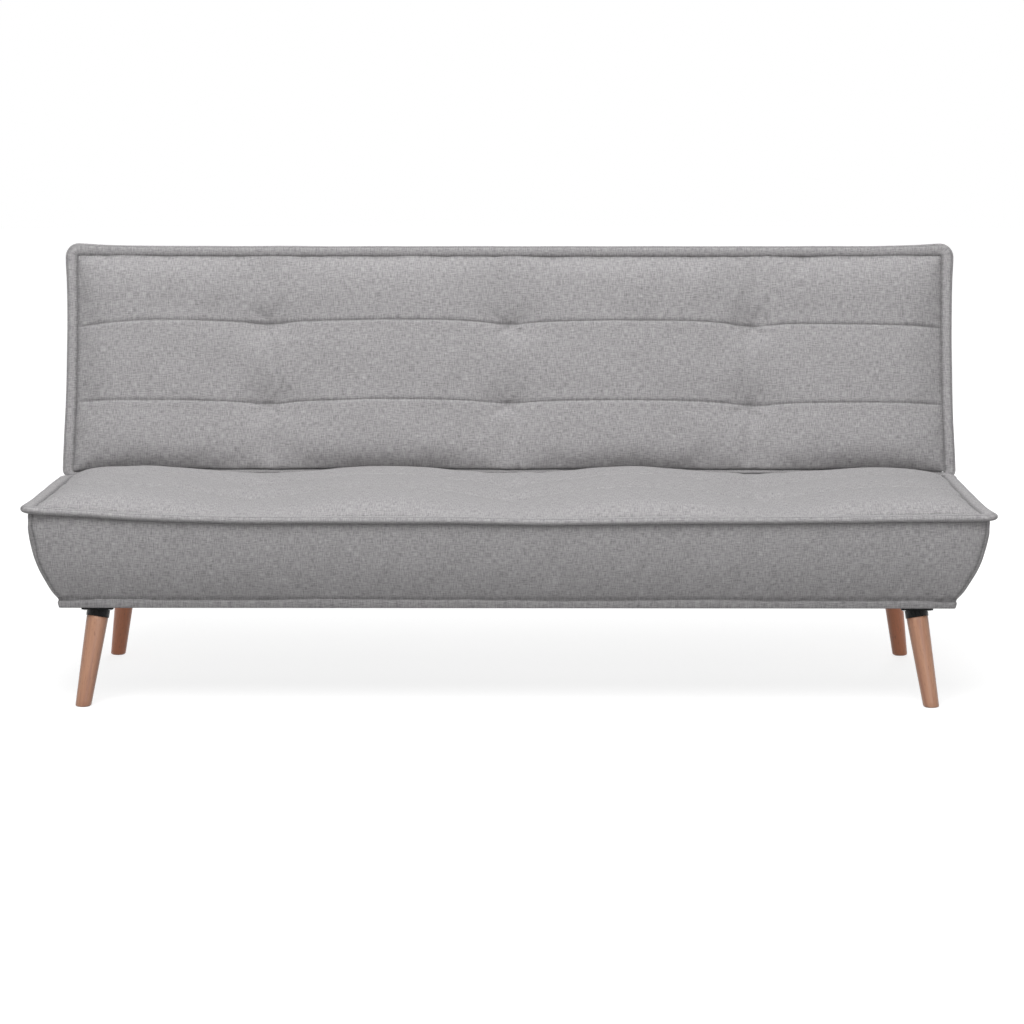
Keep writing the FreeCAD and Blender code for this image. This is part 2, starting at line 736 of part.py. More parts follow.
def make_stands():
    """Four legs under the seat and two behind the back, with all that holds them."""
    spots = {
        seat: [(y, side, way) for side in (-1, 1) for y, way in ((seat.leg_near, -1), (seat.leg_far, 1))],
        back: [(back.leg_far, side, 1) for side in (-1, 1)],
    }
    for unit, places in spots.items():
        make_legs(unit, places)
        make_sockets(unit, places)
        make_glides(unit, places)


# Click-clack hinge: arms, ratchets, click springs, pins and bolts

nose_reach = size["leaf_stand"] - size["nose_radius"]


def make_arm(label, unit, middle):
    """A goose-neck arm: round head, shank down the gap between the pads, foot under the frame."""
    body = new_body(label, unit)
    head = size["arm_head"]
    foot_low = arm_plate_level - size["arm_foot"]
    sketch = add_sketch(body, "YZ_Plane", middle)
    points = [
        (-head, NOUGHT),
        (-head, foot_low),
        (size["arm_length"], foot_low),
        (size["arm_length"], arm_plate_level),
        (head, arm_plate_level),
        (head, NOUGHT),
    ]
    draw_outline(sketch, points)
    shank = add_pad(body, sketch, size["arm_thick"], middle=True)

    def outer_bend(edge):
        centre = edge.BoundBox.Center
        low = abs(centre.z - foot_low.number) < 0.01
        return low and abs(centre.y + head.number) < 0.01 and edge.BoundBox.YLength < 0.01

    round_edges(body, shank, size["arm_bend"], outer_bend)
    sketch = add_sketch(body, "YZ_Plane", middle)
    draw_circle(sketch, NOUGHT, NOUGHT, head)
    add_pad(body, sketch, size["arm_thick"], middle=True)
    half = size["arm_plate_width"] / 2
    low = (middle - half, size["arm_plate_start"], arm_plate_level)
    add_box(body, low, (middle + half, size["arm_length"], frame_level))
    return body


def make_pin_hole(body, middle, gap):
    """The hinge pin's hole through a plate of the hinge."""
    sketch = add_sketch(body, "YZ_Plane", middle)
    draw_circle(sketch, NOUGHT, NOUGHT, size["pin_radius"] + gap)
    add_through_cut(body, sketch, size["ratchet_thick"] * 2)


def make_ratchets():
    """The discs welded to the seat arms, with a notch for each of the back's three positions."""
    body = new_body("ratchet_discs", seat)
    for side in (-1, 1):
        middle = ratchet_middle * side
        sketch = add_sketch(body, "YZ_Plane", middle)
        draw_circle(sketch, NOUGHT, NOUGHT, size["ratchet_radius"])
        draw_circle(sketch, NOUGHT, NOUGHT, size["pin_radius"] + size["pin_gap"])
        add_pad(body, sketch, size["ratchet_thick"], middle=True)
    for side in (-1, 1):
        sketch = add_sketch(body, "YZ_Plane", ratchet_middle * side)
        for raised in (NOUGHT, size["recline_angle"], size["fold_angle"]):
            angle = -size["nose_angle"] - raised
            draw_circle(sketch, nose_reach * cosine(angle), nose_reach * sine(angle), size["notch_radius"])
        add_through_cut(body, sketch, size["ratchet_thick"] * 2)


def add_spring_block(body, inner, outer):
    """The block on the back arm's inner face that the leaf spring is riveted to."""
    near = -size["leaf_stand"]
    low = -size["leaf_length"]
    high = -size["block_top"]
    left, right = (inner, outer) if inner.number < outer.number else (outer, inner)
    add_box(body, (left, near, low), (right, near + size["block_width"], high))


def make_click_spring(label, middle):
    """A leaf spring along the arm with a round nose that drops into the ratchet's notch."""
    body = new_body(label, back)
    half = size["leaf_width"] / 2
    low = (middle - half, -size["leaf_stand"] - size["leaf_thick"], -size["leaf_length"])
    add_box(body, low, (middle + half, -size["leaf_stand"], size["leaf_top"]))
    sketch = add_sketch(body, "YZ_Plane", middle)
    y = -nose_reach * cosine(size["nose_angle"])
    z = -nose_reach * sine(size["nose_angle"])
    draw_circle(sketch, y, z, size["nose_radius"])
    add_pad(body, sketch, size["leaf_width"], middle=True)
    sketch = add_sketch(body, "YZ_Plane", middle)
    neck = size["nose_radius"] * 0.8
    draw_rectangle(sketch, (-size["leaf_stand"] - size["leaf_thick"] / 2, z - neck), (y, z + neck))
    add_pad(body, sketch, size["leaf_width"], middle=True)


def make_pins():
    """The two hinge pins, heads inward, and the nut outside each back arm."""
    pins = new_body("pivot_bolts", seat)
    nuts = new_body("pivot_nuts", seat)
    for side in (-1, 1):
        head = pins.newObject("PartDesign::AdditiveCylinder", "Head")
        bind(head, Radius=size["pin_head_radius"], Height=size["pin_head_height"])
        turn_outward(head, hinge_place - size["pin_head_height"], side)
        shank = pins.newObject("PartDesign::AdditiveCylinder", "Shank")
        bind(shank, Radius=size["pin_radius"], Height=nut_inner - hinge_place + size["nut_height"])
        turn_outward(shank, hinge_place, side)
        nut = nuts.newObject("PartDesign::AdditivePrism", "Nut")
        nut.Polygon = 6
        bind(nut, Circumradius=size["nut_radius"], Height=size["nut_height"])
        turn_outward(nut, nut_inner, side)
    for side in (-1, 1):
        bore = nuts.newObject("PartDesign::SubtractiveCylinder", "Bore")
        bind(bore, Radius=size["pin_radius"] + size["pin_gap"], Height=size["nut_height"])
        turn_outward(bore, nut_inner, side)


def turn_outward(feature, start, side):
    """Lay a round feature along X, from its start outwards on one side."""
    spot = "vector(" + (start * side).text + "; 0; 0)"
    feature.setExpression(
        "Placement", "placement(" + spot + "; rotation(vector(0; 1; 0); " + str(90 * side) + "))"
    )


def make_hinges():
    """Both hinges, left and right alike."""
    for side, seat_hand, back_hand in ((-1, "right", "left"), (1, "left", "right")):
        arm = make_arm("seat_arm_" + seat_hand, seat, seat_arm_middle * side)
        make_pin_hole(arm, seat_arm_middle * side, size["pin_gap"])
        arm = make_arm("back_arm_" + back_hand, back, back_arm_middle * side)
        make_pin_hole(arm, back_arm_middle * side, size["pin_gap"])
        spring_edge = (ratchet_middle - size["leaf_width"] / 2) * side
        add_spring_block(arm, spring_edge, back_arm_inner * side)
        make_click_spring("click_spring_" + back_hand, ratchet_middle * side)
    make_ratchets()
    make_pins()


def check_and_write():
    """Stop if anything failed, then write each piece."""
    doc.recompute()
    for item in doc.Objects:
        if "Invalid" in item.State or "Error" in item.State:
            raise RuntimeError(item.Name + " failed: " + str(item.State))
    os.makedirs("parts", exist_ok=True)
    whole = FreeCAD.BoundBox()
    for piece in PIECES:
        shape = piece.Shape
        if shape.isNull() or not shape.isValid():
            raise RuntimeError(piece.Label + " has no valid shape")
        whole.add(shape.optimalBoundingBox(False))
        shape.exportStep("parts/" + piece.Label + ".step")
    print("pieces", len(PIECES))
    for axis in "XYZ":
        low, high = getattr(whole, axis + "Min"), getattr(whole, axis + "Max")
        print("%s from %.2f to %.2f" % (axis, low, high))
    print("hinge axis at y %.3f, z %.3f" % (pivot_y.number, pivot_z.number))


for pad_unit in (seat, back):
    make_frame(pad_unit)
    make_webbing(pad_unit)
    make_foam_core(pad_unit)
    make_cushion(pad_unit)
    make_sewn_edge(pad_unit)
    make_base_band(pad_unit)
    make_dust_cover(pad_unit)
make_stands()
make_hinges()
check_and_write()
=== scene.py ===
"""Click-clack sofa bed, dressed for its picture.

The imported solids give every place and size. This file builds what covers them: two padded
upholstery forms with their cross seams and tufts, the rolled sewn edges, the foot bands, the
stitching, turned beech legs in black steel cups, the heads of bolts and screws and the sheet
under each frame, with a studio to see them in. Sizes are millimetres in a pad's own frame,
and become metres in the frame of the solids where a mesh is made.
"""
from __future__ import annotations

import json
import logging
import math
from dataclasses import dataclass, field
from enum import Enum
from typing import Callable, Sequence

import bmesh
import bpy
import numpy as np
from mathutils import Matrix, Vector
from mathutils.bvhtree import BVHTree

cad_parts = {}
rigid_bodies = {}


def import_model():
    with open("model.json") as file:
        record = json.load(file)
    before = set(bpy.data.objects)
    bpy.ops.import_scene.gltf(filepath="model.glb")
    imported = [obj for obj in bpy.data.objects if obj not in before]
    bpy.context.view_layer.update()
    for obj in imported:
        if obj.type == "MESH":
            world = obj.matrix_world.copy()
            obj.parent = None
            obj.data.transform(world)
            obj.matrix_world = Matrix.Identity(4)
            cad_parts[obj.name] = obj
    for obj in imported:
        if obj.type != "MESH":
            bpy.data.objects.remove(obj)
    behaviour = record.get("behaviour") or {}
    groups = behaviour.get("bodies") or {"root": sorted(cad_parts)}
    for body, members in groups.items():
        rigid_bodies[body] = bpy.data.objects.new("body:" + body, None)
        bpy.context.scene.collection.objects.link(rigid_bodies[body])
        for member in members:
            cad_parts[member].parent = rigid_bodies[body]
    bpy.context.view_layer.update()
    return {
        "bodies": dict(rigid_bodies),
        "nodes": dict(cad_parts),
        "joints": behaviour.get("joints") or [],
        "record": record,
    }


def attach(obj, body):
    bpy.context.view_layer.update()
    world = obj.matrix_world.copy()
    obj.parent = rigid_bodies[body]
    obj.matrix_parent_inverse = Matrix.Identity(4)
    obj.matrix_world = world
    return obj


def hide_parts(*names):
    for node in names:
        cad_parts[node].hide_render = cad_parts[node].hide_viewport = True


LOG = logging.getLogger("sofa_bed")
MM = 0.001
Array = np.ndarray
Colour = tuple[float, float, float, float]
Place = tuple[float, float, float]
Marks = tuple[Array, Array, Array]


class Pad(Enum):
    """The two pads of the sofa bed, by the body that carries each."""

    SEAT = "seat"
    BACK = "backrest"


class Finish(Enum):
    """Names of material slots of the record."""

    CLOTH = "grey_fabric"
    SHEET = "nonwoven"
    BEECH = "beech"
    BLACK = "black_metal"
    ZINC = "zinc_steel"


# Node building


@dataclass
class NodeBench:
    """A node tree with short ways to add and join its nodes."""

    tree: bpy.types.NodeTree

    def add(
        self, kind: str, takes: dict[str, object] | None = None, **settings: object
    ) -> bpy.types.Node:
        """Add a node, set its properties and fill its inputs.

        Args:
            kind: The node's type name.
            takes: Sockets or values for its inputs, by name.
            **settings: Properties of the node, by name.

        Returns:
            The new node.
        """
        node = self.tree.nodes.new(kind)
        for name, value in settings.items():
            setattr(node, name, value)
        self.fill(node, takes or {})
        return node

    def fill(self, node: bpy.types.Node, takes: dict[str, object]) -> None:
        """Join sockets or plain values into a node's inputs, by name."""
        for name, source in takes.items():
            self.join(source, node.inputs[name])

    def join(self, source: object, target: bpy.types.NodeSocket) -> None:
        """Link a socket, or set a plain value, into a target socket.

        Args:
            source: The socket or the value.
            target: The input that takes it.
        """
        if isinstance(source, bpy.types.NodeSocket):
            self.tree.links.new(source, target)
        else:
            target.default_value = source

    def calc(self, operation: str, *values: object, clamp: bool = False) -> bpy.types.NodeSocket:
        """One Math node.

        Args:
            operation: The Math node's operation.
            *values: Sockets or numbers, one for each of its inputs.
            clamp: Whether the result is kept between 0 and 1.

        Returns:
            The output socket.
        """
        node = self.add("ShaderNodeMath", operation=operation, use_clamp=clamp)
        for value, target in zip(values, node.inputs):
            self.join(value, target)
        return node.outputs[0]

    def noise(self, vector: object, scale: float, detail: float = 2.0) -> bpy.types.NodeSocket:
        """A noise texture's factor, with its cells to the metre and its octaves."""
        takes = {"Vector": vector, "Scale": scale, "Detail": detail}
        return self.add("ShaderNodeTexNoise", takes).outputs["Fac"]

    def stretch(self, vector: object, scale: Sequence[float]) -> bpy.types.NodeSocket:
        """Coordinates scaled along each axis."""
        return self.add("ShaderNodeMapping", {"Vector": vector, "Scale": scale}).outputs[0]

    def span(
        self, value: object, low: float, high: float, out_low: float, out_high: float
    ) -> bpy.types.NodeSocket:
        """A clamped change of range.

        Args:
            value: The value to change.
            low: Where the input range starts.
            high: Where it ends.
            out_low: The result at its start.
            out_high: The result at its end.

        Returns:
            The result socket.
        """
        node = self.add("ShaderNodeMapRange")
        for number, target in zip((value, low, high, out_low, out_high), node.inputs):
            self.join(number, target)
        return node.outputs[0]

    def mix(
        self, factor: object, first: object, second: object, blend: str = "MIX"
    ) -> bpy.types.NodeSocket:
        """A colour mix.

        Args:
            factor: How much of the second colour.
            first: The first colour.
            second: The second colour.
            blend: The way of mixing.

        Returns:
            The colour socket.
        """
        node = self.add("ShaderNodeMix", data_type="RGBA", blend_type=blend)
        self.join(factor, node.inputs[0])
        self.join(first, node.inputs[6])
        self.join(second, node.inputs[7])
        return node.outputs[2]

    def shade(self, colour: object, level: object) -> bpy.types.NodeSocket:
        """A colour multiplied by a grey level.

        Args:
            colour: The colour.
            level: The level.

        Returns:
            The colour socket.
        """
        grey = self.add("ShaderNodeCombineColor")
        for target in grey.inputs:
            self.join(level, target)
        return self.mix(1.0, colour, grey.outputs[0], "MULTIPLY")

    def attribute(self, name: str, output: str) -> bpy.types.NodeSocket:
        """An output of a piece's own attribute."""
        return self.add("ShaderNodeAttribute", attribute_name=name).outputs[output]


class GroupShelf:
    """The node groups that more than one finish uses, each built once."""

    def __init__(self) -> None:
        """Start with an empty shelf."""
        self.groups: dict[str, bpy.types.NodeTree] = {}

    def start(
        self, name: str, takes: dict[str, float | None], gives: Sequence[str]
    ) -> tuple[NodeBench, bpy.types.Node, bpy.types.Node]:
        """Begin a group with its sockets.

        Args:
            name: The group's name.
            takes: Names of the inputs with their values, or None for a vector.
            gives: Names of the outputs.

        Returns:
            The bench, its input node and its output node.
        """
        tree = bpy.data.node_groups.new(name, "ShaderNodeTree")
        for label, value in takes.items():
            kind = "NodeSocketVector" if value is None else "NodeSocketFloat"
            socket = tree.interface.new_socket(name=label, in_out="INPUT", socket_type=kind)
            if value is not None:
                socket.default_value = value
        for label in gives:
            tree.interface.new_socket(name=label, in_out="OUTPUT", socket_type="NodeSocketFloat")
        bench = NodeBench(tree)
        self.groups[name] = tree
        return bench, bench.add("NodeGroupInput"), bench.add("NodeGroupOutput")

    def weave(self) -> bpy.types.NodeTree:
        """Plain weave of heathered yarn: shade of each thread, and the threads' height.

        Returns:
            The node group.
        """
        if "PlainWeave" in self.groups:
            return self.groups["PlainWeave"]
        bench, taken, given = self.start(
            "PlainWeave", {"Vector": None, "Threads": 640.0, "Heather": 1.0}, ("Shade", "Height")
        )
        apart = bench.add("ShaderNodeSeparateXYZ", {"Vector": taken.outputs["Vector"]})
        along = bench.calc("MULTIPLY", apart.outputs[0], taken.outputs["Threads"])
        across = bench.calc("MULTIPLY", apart.outputs[1], taken.outputs["Threads"])
        warp = bench.calc("ABSOLUTE", bench.calc("SINE", bench.calc("MULTIPLY", along, math.pi)))
        weft = bench.calc("ABSOLUTE", bench.calc("SINE", bench.calc("MULTIPLY", across, math.pi)))
        cells = bench.calc("ADD", bench.calc("FLOOR", along), bench.calc("FLOOR", across))
        over = bench.calc("MODULO", bench.calc("ABSOLUTE", cells), 2.0)
        under = bench.calc("SUBTRACT", 1.0, over)
        warp, weft = bench.calc("MULTIPLY", warp, over), bench.calc("MULTIPLY", weft, under)
        height = bench.calc("ADD", warp, weft)
        vector = taken.outputs["Vector"]
        slub, drawn_out, fine, octaves, contrast = 560.0, 0.13, 640.0, 1.5, 2.4
        warp_slub = bench.noise(bench.stretch(vector, (1.0, drawn_out, 1.0)), slub, octaves)
        weft_slub = bench.noise(bench.stretch(vector, (drawn_out, 1.0, 1.0)), slub, octaves)
        fleck = bench.noise(vector, fine, octaves)
        yarn = bench.calc("MULTIPLY", bench.calc("ADD", warp_slub, weft_slub), 0.5)
        yarn, fleck = bench.calc("MULTIPLY", yarn, 0.82), bench.calc("MULTIPLY", fleck, 0.18)
        off = bench.calc("SUBTRACT", bench.calc("ADD", yarn, fleck), 0.5)
        spread = bench.calc("MULTIPLY", off, taken.outputs["Heather"])
        shade = bench.calc("ADD", bench.calc("MULTIPLY", spread, contrast), 0.5, clamp=True)
        bench.join(shade, given.inputs["Shade"])
        bench.join(height, given.inputs["Height"])
        return self.groups["PlainWeave"]

    def wear(self) -> bpy.types.NodeTree:
        """Broad soft patches and fine grit, for colour and roughness that vary over a surface.

        Returns:
            The node group.
        """
        if "SoftPatches" in self.groups:
            return self.groups["SoftPatches"]
        bench, taken, given = self.start(
            "SoftPatches", {"Vector": None, "Patch": 4.0, "Grit": 300.0}, ("Patches", "Fine")
        )
        for scale, goal in (("Patch", "Patches"), ("Grit", "Fine")):
            takes = {"Vector": taken.outputs["Vector"], "Scale": taken.outputs[scale]}
            noise = bench.add("ShaderNodeTexNoise", takes)
            bench.join(noise.outputs["Fac"], given.inputs[goal])
        return self.groups["SoftPatches"]


SHELF = GroupShelf()


def start_material(name: str) -> tuple[bpy.types.Material, NodeBench, bpy.types.Node]:
    """A new material with its Principled shader.

    Args:
        name: The material's name.

    Returns:
        The material, a bench on its tree and the shader node.
    """
    material = bpy.data.materials.new(name)
    material.use_nodes = True
    material.node_tree.nodes.clear()
    bench = NodeBench(material.node_tree)
    shader = bench.add("ShaderNodeBsdfPrincipled")
    output = bench.add("ShaderNodeOutputMaterial")
    bench.join(shader.outputs[0], output.inputs[0])
    return material, bench, shader


def use_group(bench: NodeBench, tree: bpy.types.NodeTree, **takes: object) -> bpy.types.Node:
    """Place a shared group in a material and fill its inputs."""
    return bench.add("ShaderNodeGroup", takes, node_tree=tree)


def add_bump(
    bench: NodeBench, shader: bpy.types.Node, height: object, distance: float, strength: float
) -> None:
    """Feed a height through a Bump node to the shader's normal.

    Args:
        bench: The material's bench.
        shader: The Principled shader.
        height: The height, from 0 to 1.
        distance: How high 1 stands, in metres.
        strength: How much of it shows.
    """
    takes = {"Distance": distance, "Strength": strength, "Height": height}
    bench.join(bench.add("ShaderNodeBump", takes).outputs[0], shader.inputs["Normal"])


@dataclass(frozen=True)
class HeatherCloth:
    """Upholstery cloth: grey heathered plain weave, with painted shade in its seams and hollows."""

    name: str = "heather_cloth"
    light: Colour = (0.510, 0.498, 0.500, 1.0)
    dark: Colour = (0.168, 0.161, 0.168, 1.0)
    threads: float = 640.0
    heather: float = 1.0
    # How far the painted shade darkens the cloth at its deepest
    painted_shade: float = 0.42

    def build(self) -> bpy.types.Material:
        """Make the material, which reads the pieces' Weave coordinates and painted shade attribute.

        Returns:
            The material.
        """
        material, bench, shader = start_material(self.name)
        coordinates = bench.add("ShaderNodeUVMap", uv_map="Weave").outputs[0]
        weave = use_group(
            bench, SHELF.weave(), Vector=coordinates, Threads=self.threads, Heather=self.heather
        )
        patches = use_group(bench, SHELF.wear(), Vector=coordinates, Patch=9.0, Grit=140.0)
        colour = bench.mix(weave.outputs["Shade"], self.dark, self.light)
        tone = bench.span(patches.outputs["Patches"], 0.3, 0.7, 0.985, 1.015)
        blotch = bench.span(patches.outputs["Fine"], 0.3, 0.7, 0.985, 1.015)
        # Painted shade: the colour darkens where the attribute marks seams, tufts, grooves and the
        # band's face
        painted_shade = bench.attribute("PaintedShade", "Fac")
        painted_shade_factor = bench.calc("SUBTRACT", 1.0, bench.calc("MULTIPLY", painted_shade, self.painted_shade))
        level = bench.calc("MULTIPLY", bench.calc("MULTIPLY", tone, blotch), painted_shade_factor)
        bench.fill(
            shader,
            {
                "Base Color": bench.shade(colour, level),
                "Roughness": bench.span(weave.outputs["Height"], 0.0, 1.0, 0.98, 0.86),
                "Specular IOR Level": 0.18,
                "Sheen Weight": 0.12,
                "Sheen Roughness": 0.5,
                "Sheen Tint": (0.9, 0.9, 0.92, 1.0),
            },
        )
        add_bump(bench, shader, weave.outputs["Height"], 0.0004, 0.5)
        return material


@dataclass(frozen=True)
class TurnedBeech:
    """Lacquered beech: grain along the leg, short dark rays, and painted light on legs in shade."""

    name: str = "turned_beech"
    light: Colour = (0.47, 0.245, 0.150, 1.0)
    dark: Colour = (0.33, 0.150, 0.088, 1.0)
    # Painted light: the lighter, redder colour of legs that stand in shade under the sofa
    painted_light_red: Colour = (0.66, 0.240, 0.120, 1.0)
    ray: Colour = (0.22, 0.095, 0.055, 1.0)

    def build(self) -> bpy.types.Material:
        """Make the material, which reads the legs' own Grain attribute and Tint of painted light.

        Returns:
            The material.
        """
        material, bench, shader = start_material(self.name)
        grain = bench.attribute("Grain", "Vector")
        rings = bench.noise(bench.stretch(grain, (1.0, 1.0, 0.045)), 95.0, 4.0)
        fibre = bench.noise(bench.stretch(grain, (1.0, 1.0, 0.02)), 900.0, 3.0)
        rays = bench.noise(bench.stretch(grain, (1.0, 1.0, 0.16)), 520.0, 2.0)
        fleck = bench.span(rays, 0.60, 0.72, 0.0, 0.55)
        tone = bench.span(rings, 0.34, 0.66, 0.0, 1.0)
        colour = bench.mix(tone, self.light, self.dark)
        # Painted light: legs in shade are lifted towards the lighter, redder colour
        painted_light = bench.attribute("Tint", "Fac")
        colour = bench.mix(painted_light, colour, self.painted_light_red)
        colour = bench.mix(fleck, colour, self.ray)
        shine = bench.span(fibre, 0.3, 0.7, 0.93, 1.06)
        bench.fill(
            shader,
            {
                "Base Color": bench.shade(colour, shine),
                "Roughness": bench.span(fibre, 0.2, 0.8, 0.34, 0.48),
                "Coat Weight": 0.25,
                "Coat Roughness": 0.22,
            },
        )
        add_bump(bench, shader, fibre, 0.0002, 0.35)
        return material


@dataclass(frozen=True)
class SawnPine:
    """Unfinished pine of the hidden frame."""

    name: str = "sawn_pine"
    early: Colour = (0.68, 0.50, 0.30, 1.0)
    late: Colour = (0.52, 0.34, 0.17, 1.0)

    def build(self) -> bpy.types.Material:
        """Make the material on object coordinates.

        Returns:
            The material.
        """
        material, bench, shader = start_material(self.name)
        place = bench.add("ShaderNodeTexCoord").outputs["Object"]
        rings = bench.noise(bench.stretch(place, (0.08, 1.0, 1.0)), 60.0, 4.0)
        saw = bench.noise(bench.stretch(place, (1.0, 0.2, 0.2)), 700.0, 2.0)
        colour = bench.mix(bench.span(rings, 0.35, 0.65, 0.0, 1.0), self.early, self.late)
        rough = bench.span(saw, 0.3, 0.7, 0.62, 0.85)
        bench.fill(shader, {"Base Color": colour, "Roughness": rough})
        add_bump(bench, shader, saw, 0.0004, 0.5)
        return material


@dataclass(frozen=True)
class PlainFinish:
    """A painted, plated, moulded or felted surface with small changes over it."""

    name: str
    colour: Colour
    roughness: tuple[float, float]
    metallic: float = 0.0
    specular: float = 0.5
    grit: float = 300.0
    change: float = 0.08
    bump: float = 0.0001

    def build(self) -> bpy.types.Material:
        """Make the material on object coordinates.

        Returns:
            The material.
        """
        material, bench, shader = start_material(self.name)
        place = bench.add("ShaderNodeTexCoord").outputs["Object"]
        patches = use_group(bench, SHELF.wear(), Vector=place, Patch=35.0, Grit=self.grit)
        change = self.change
        level = bench.span(patches.outputs["Patches"], 0.3, 0.7, 1.0 - change, 1.0 + change)
        bench.fill(
            shader,
            {
                "Base Color": bench.shade(self.colour, level),
                "Roughness": bench.span(patches.outputs["Fine"], 0.3, 0.7, *self.roughness),
                "Metallic": self.metallic,
                "Specular IOR Level": self.specular,
            },
        )
        add_bump(bench, shader, patches.outputs["Fine"], self.bump, 0.4)
        return material


class Finishes:
    """Every finish of the sofa bed, built once."""

    def __init__(self) -> None:
        """Build all the materials."""
        self.cloth = HeatherCloth().build()
        self.beech = TurnedBeech().build()
        self.pine = SawnPine().build()
        self.thread = PlainFinish("sewing_thread", (0.30, 0.295, 0.30, 1.0), (0.7, 0.9)).build()
        self.black = PlainFinish(
            "black_gloss", (0.004, 0.004, 0.0045, 1.0), (0.16, 0.26), change=0.15, specular=0.12
        ).build()
        self.zinc = PlainFinish(
            "zinc_plate", (0.56, 0.57, 0.58, 1.0), (0.28, 0.45), metallic=1.0, change=0.10
        ).build()
        self.spring = PlainFinish(
            "blued_steel", (0.20, 0.21, 0.24, 1.0), (0.25, 0.4), metallic=1.0
        ).build()
        self.glide = PlainFinish("glide_plastic", (0.03, 0.03, 0.032, 1.0), (0.45, 0.6)).build()
        self.foam = PlainFinish(
            "open_foam", (0.80, 0.72, 0.50, 1.0), (0.85, 1.0), grit=900.0, bump=0.0008
        ).build()
        self.webbing = PlainFinish(
            "elastic_webbing", (0.055, 0.055, 0.06, 1.0), (0.7, 0.9), grit=700.0, bump=0.0005
        ).build()
        self.sheet = PlainFinish(
            "nonwoven_sheet", (0.020, 0.020, 0.022, 1.0), (0.8, 0.98),
            grit=520.0, bump=0.0006, change=0.2,
        ).build()


# Meshes


def new_object(name: str, data: bpy.types.ID) -> bpy.types.Object:
    """A new object at the origin, linked to the scene.

    Args:
        name: The object's name.
        data: Its mesh, curve or other data.

    Returns:
        The object.
    """
    made = bpy.data.objects.new(name, data)
    bpy.context.scene.collection.objects.link(made)
    return made


def turn_outwards(mesh: bpy.types.Mesh) -> None:
    """Turn a closed mesh's faces outwards.

    Args:
        mesh: The mesh, which is changed.
    """
    work = bmesh.new()
    work.from_mesh(mesh)
    bmesh.ops.recalc_face_normals(work, faces=work.faces)
    work.to_mesh(mesh)
    work.free()


def keep_attribute(mesh: bpy.types.Mesh, label: str, values: Array) -> None:
    """Store a number or a vector for each point of a mesh.

    Args:
        mesh: The mesh.
        label: The attribute's name.
        values: The numbers or vectors, one to a row.
    """
    kind, key = ("FLOAT_VECTOR", "vector") if values.ndim == 2 else ("FLOAT", "value")
    attribute = mesh.attributes.new(label, kind, "POINT")
    attribute.data.foreach_set(key, values.astype(np.float32).ravel())


def keep_weave(mesh: bpy.types.Mesh, flat: Sequence[float]) -> None:
    """Store the Weave coordinates, two numbers for each corner of each face."""
    layer = mesh.uv_layers.new(name="Weave")
    layer.data.foreach_set("uv", np.array(flat, np.float32))


def make_mesh(
    name: str, points: Array, faces: Sequence[Sequence[int]], outward: bool = True
) -> bpy.types.Object:
    """An object at the origin from points and faces, with its faces turned outwards.

    Args:
        name: The object's name.
        points: Points in the frame of the solids, one to a row.
        faces: Corner numbers of each face.
        outward: Whether the faces' sides are worked out again.

    Returns:
        The object.
    """
    mesh = bpy.data.meshes.new(name)
    mesh.from_pydata([tuple(point) for point in points], [], [tuple(face) for face in faces])
    mesh.validate()
    if outward:
        turn_outwards(mesh)
    mesh.shade_smooth()
    return new_object(name, mesh)


def dress(
    piece: bpy.types.Object, body: str, material: bpy.types.Material
) -> None:
    """Give a piece its material and the body that it rides on.

    Args:
        piece: The piece.
        body: The body's name.
        material: The piece's material, where it has none yet.
    """
    if not piece.data.materials:
        piece.data.materials.append(material)
    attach(piece, body)


def settle(piece: bpy.types.Object) -> None:
    """Turn a piece with live modifiers into a plain mesh.

    Args:
        piece: The piece, which is changed.
    """
    graph = bpy.context.evaluated_depsgraph_get()
    graph.update()
    plain = bpy.data.meshes.new_from_object(piece.evaluated_get(graph))
    piece.modifiers.clear()
    piece.data = plain


def subdivide(piece: bpy.types.Object) -> None:
    """Subdivide a piece smoothly once and keep the result as its mesh.

    Args:
        piece: The piece, which is changed.
    """
    modifier = piece.modifiers.new("Smooth", "SUBSURF")
    modifier.levels = modifier.render_levels = 1
    settle(piece)
    piece.data.shade_smooth()


@dataclass(frozen=True)
class PadSpace:
    """A pad's own frame: x along the hinge, s across the pad and z out of its sitting side."""

    pad: Pad
    pivot: Place
    raised: float

    def to_sofa(self, points: Array) -> Array:
        """Points of the pad's frame, in millimetres, as points of the sofa in metres.

        Args:
            points: Rows of x, s and z.

        Returns:
            Rows of x, y and z.
        """
        x, s, z = (points[:, index] * MM for index in range(3))
        if self.pad is Pad.SEAT:
            y, up = -s, z
        else:
            angle = math.radians(self.raised)
            y = s * math.cos(angle) - z * math.sin(angle)
            up = s * math.sin(angle) + z * math.cos(angle)
        return np.column_stack([x + self.pivot[0], y + self.pivot[1], up + self.pivot[2]])

    def down(self) -> tuple[Vector, Vector]:
        """The frame's origin and the way out of the pad's underside, in the sofa's frame."""
        origin, below = self.to_sofa(np.array([[0.0, 0.0, 0.0], [0.0, 0.0, -1.0]]))
        return Vector(origin), Vector(below - origin).normalized()


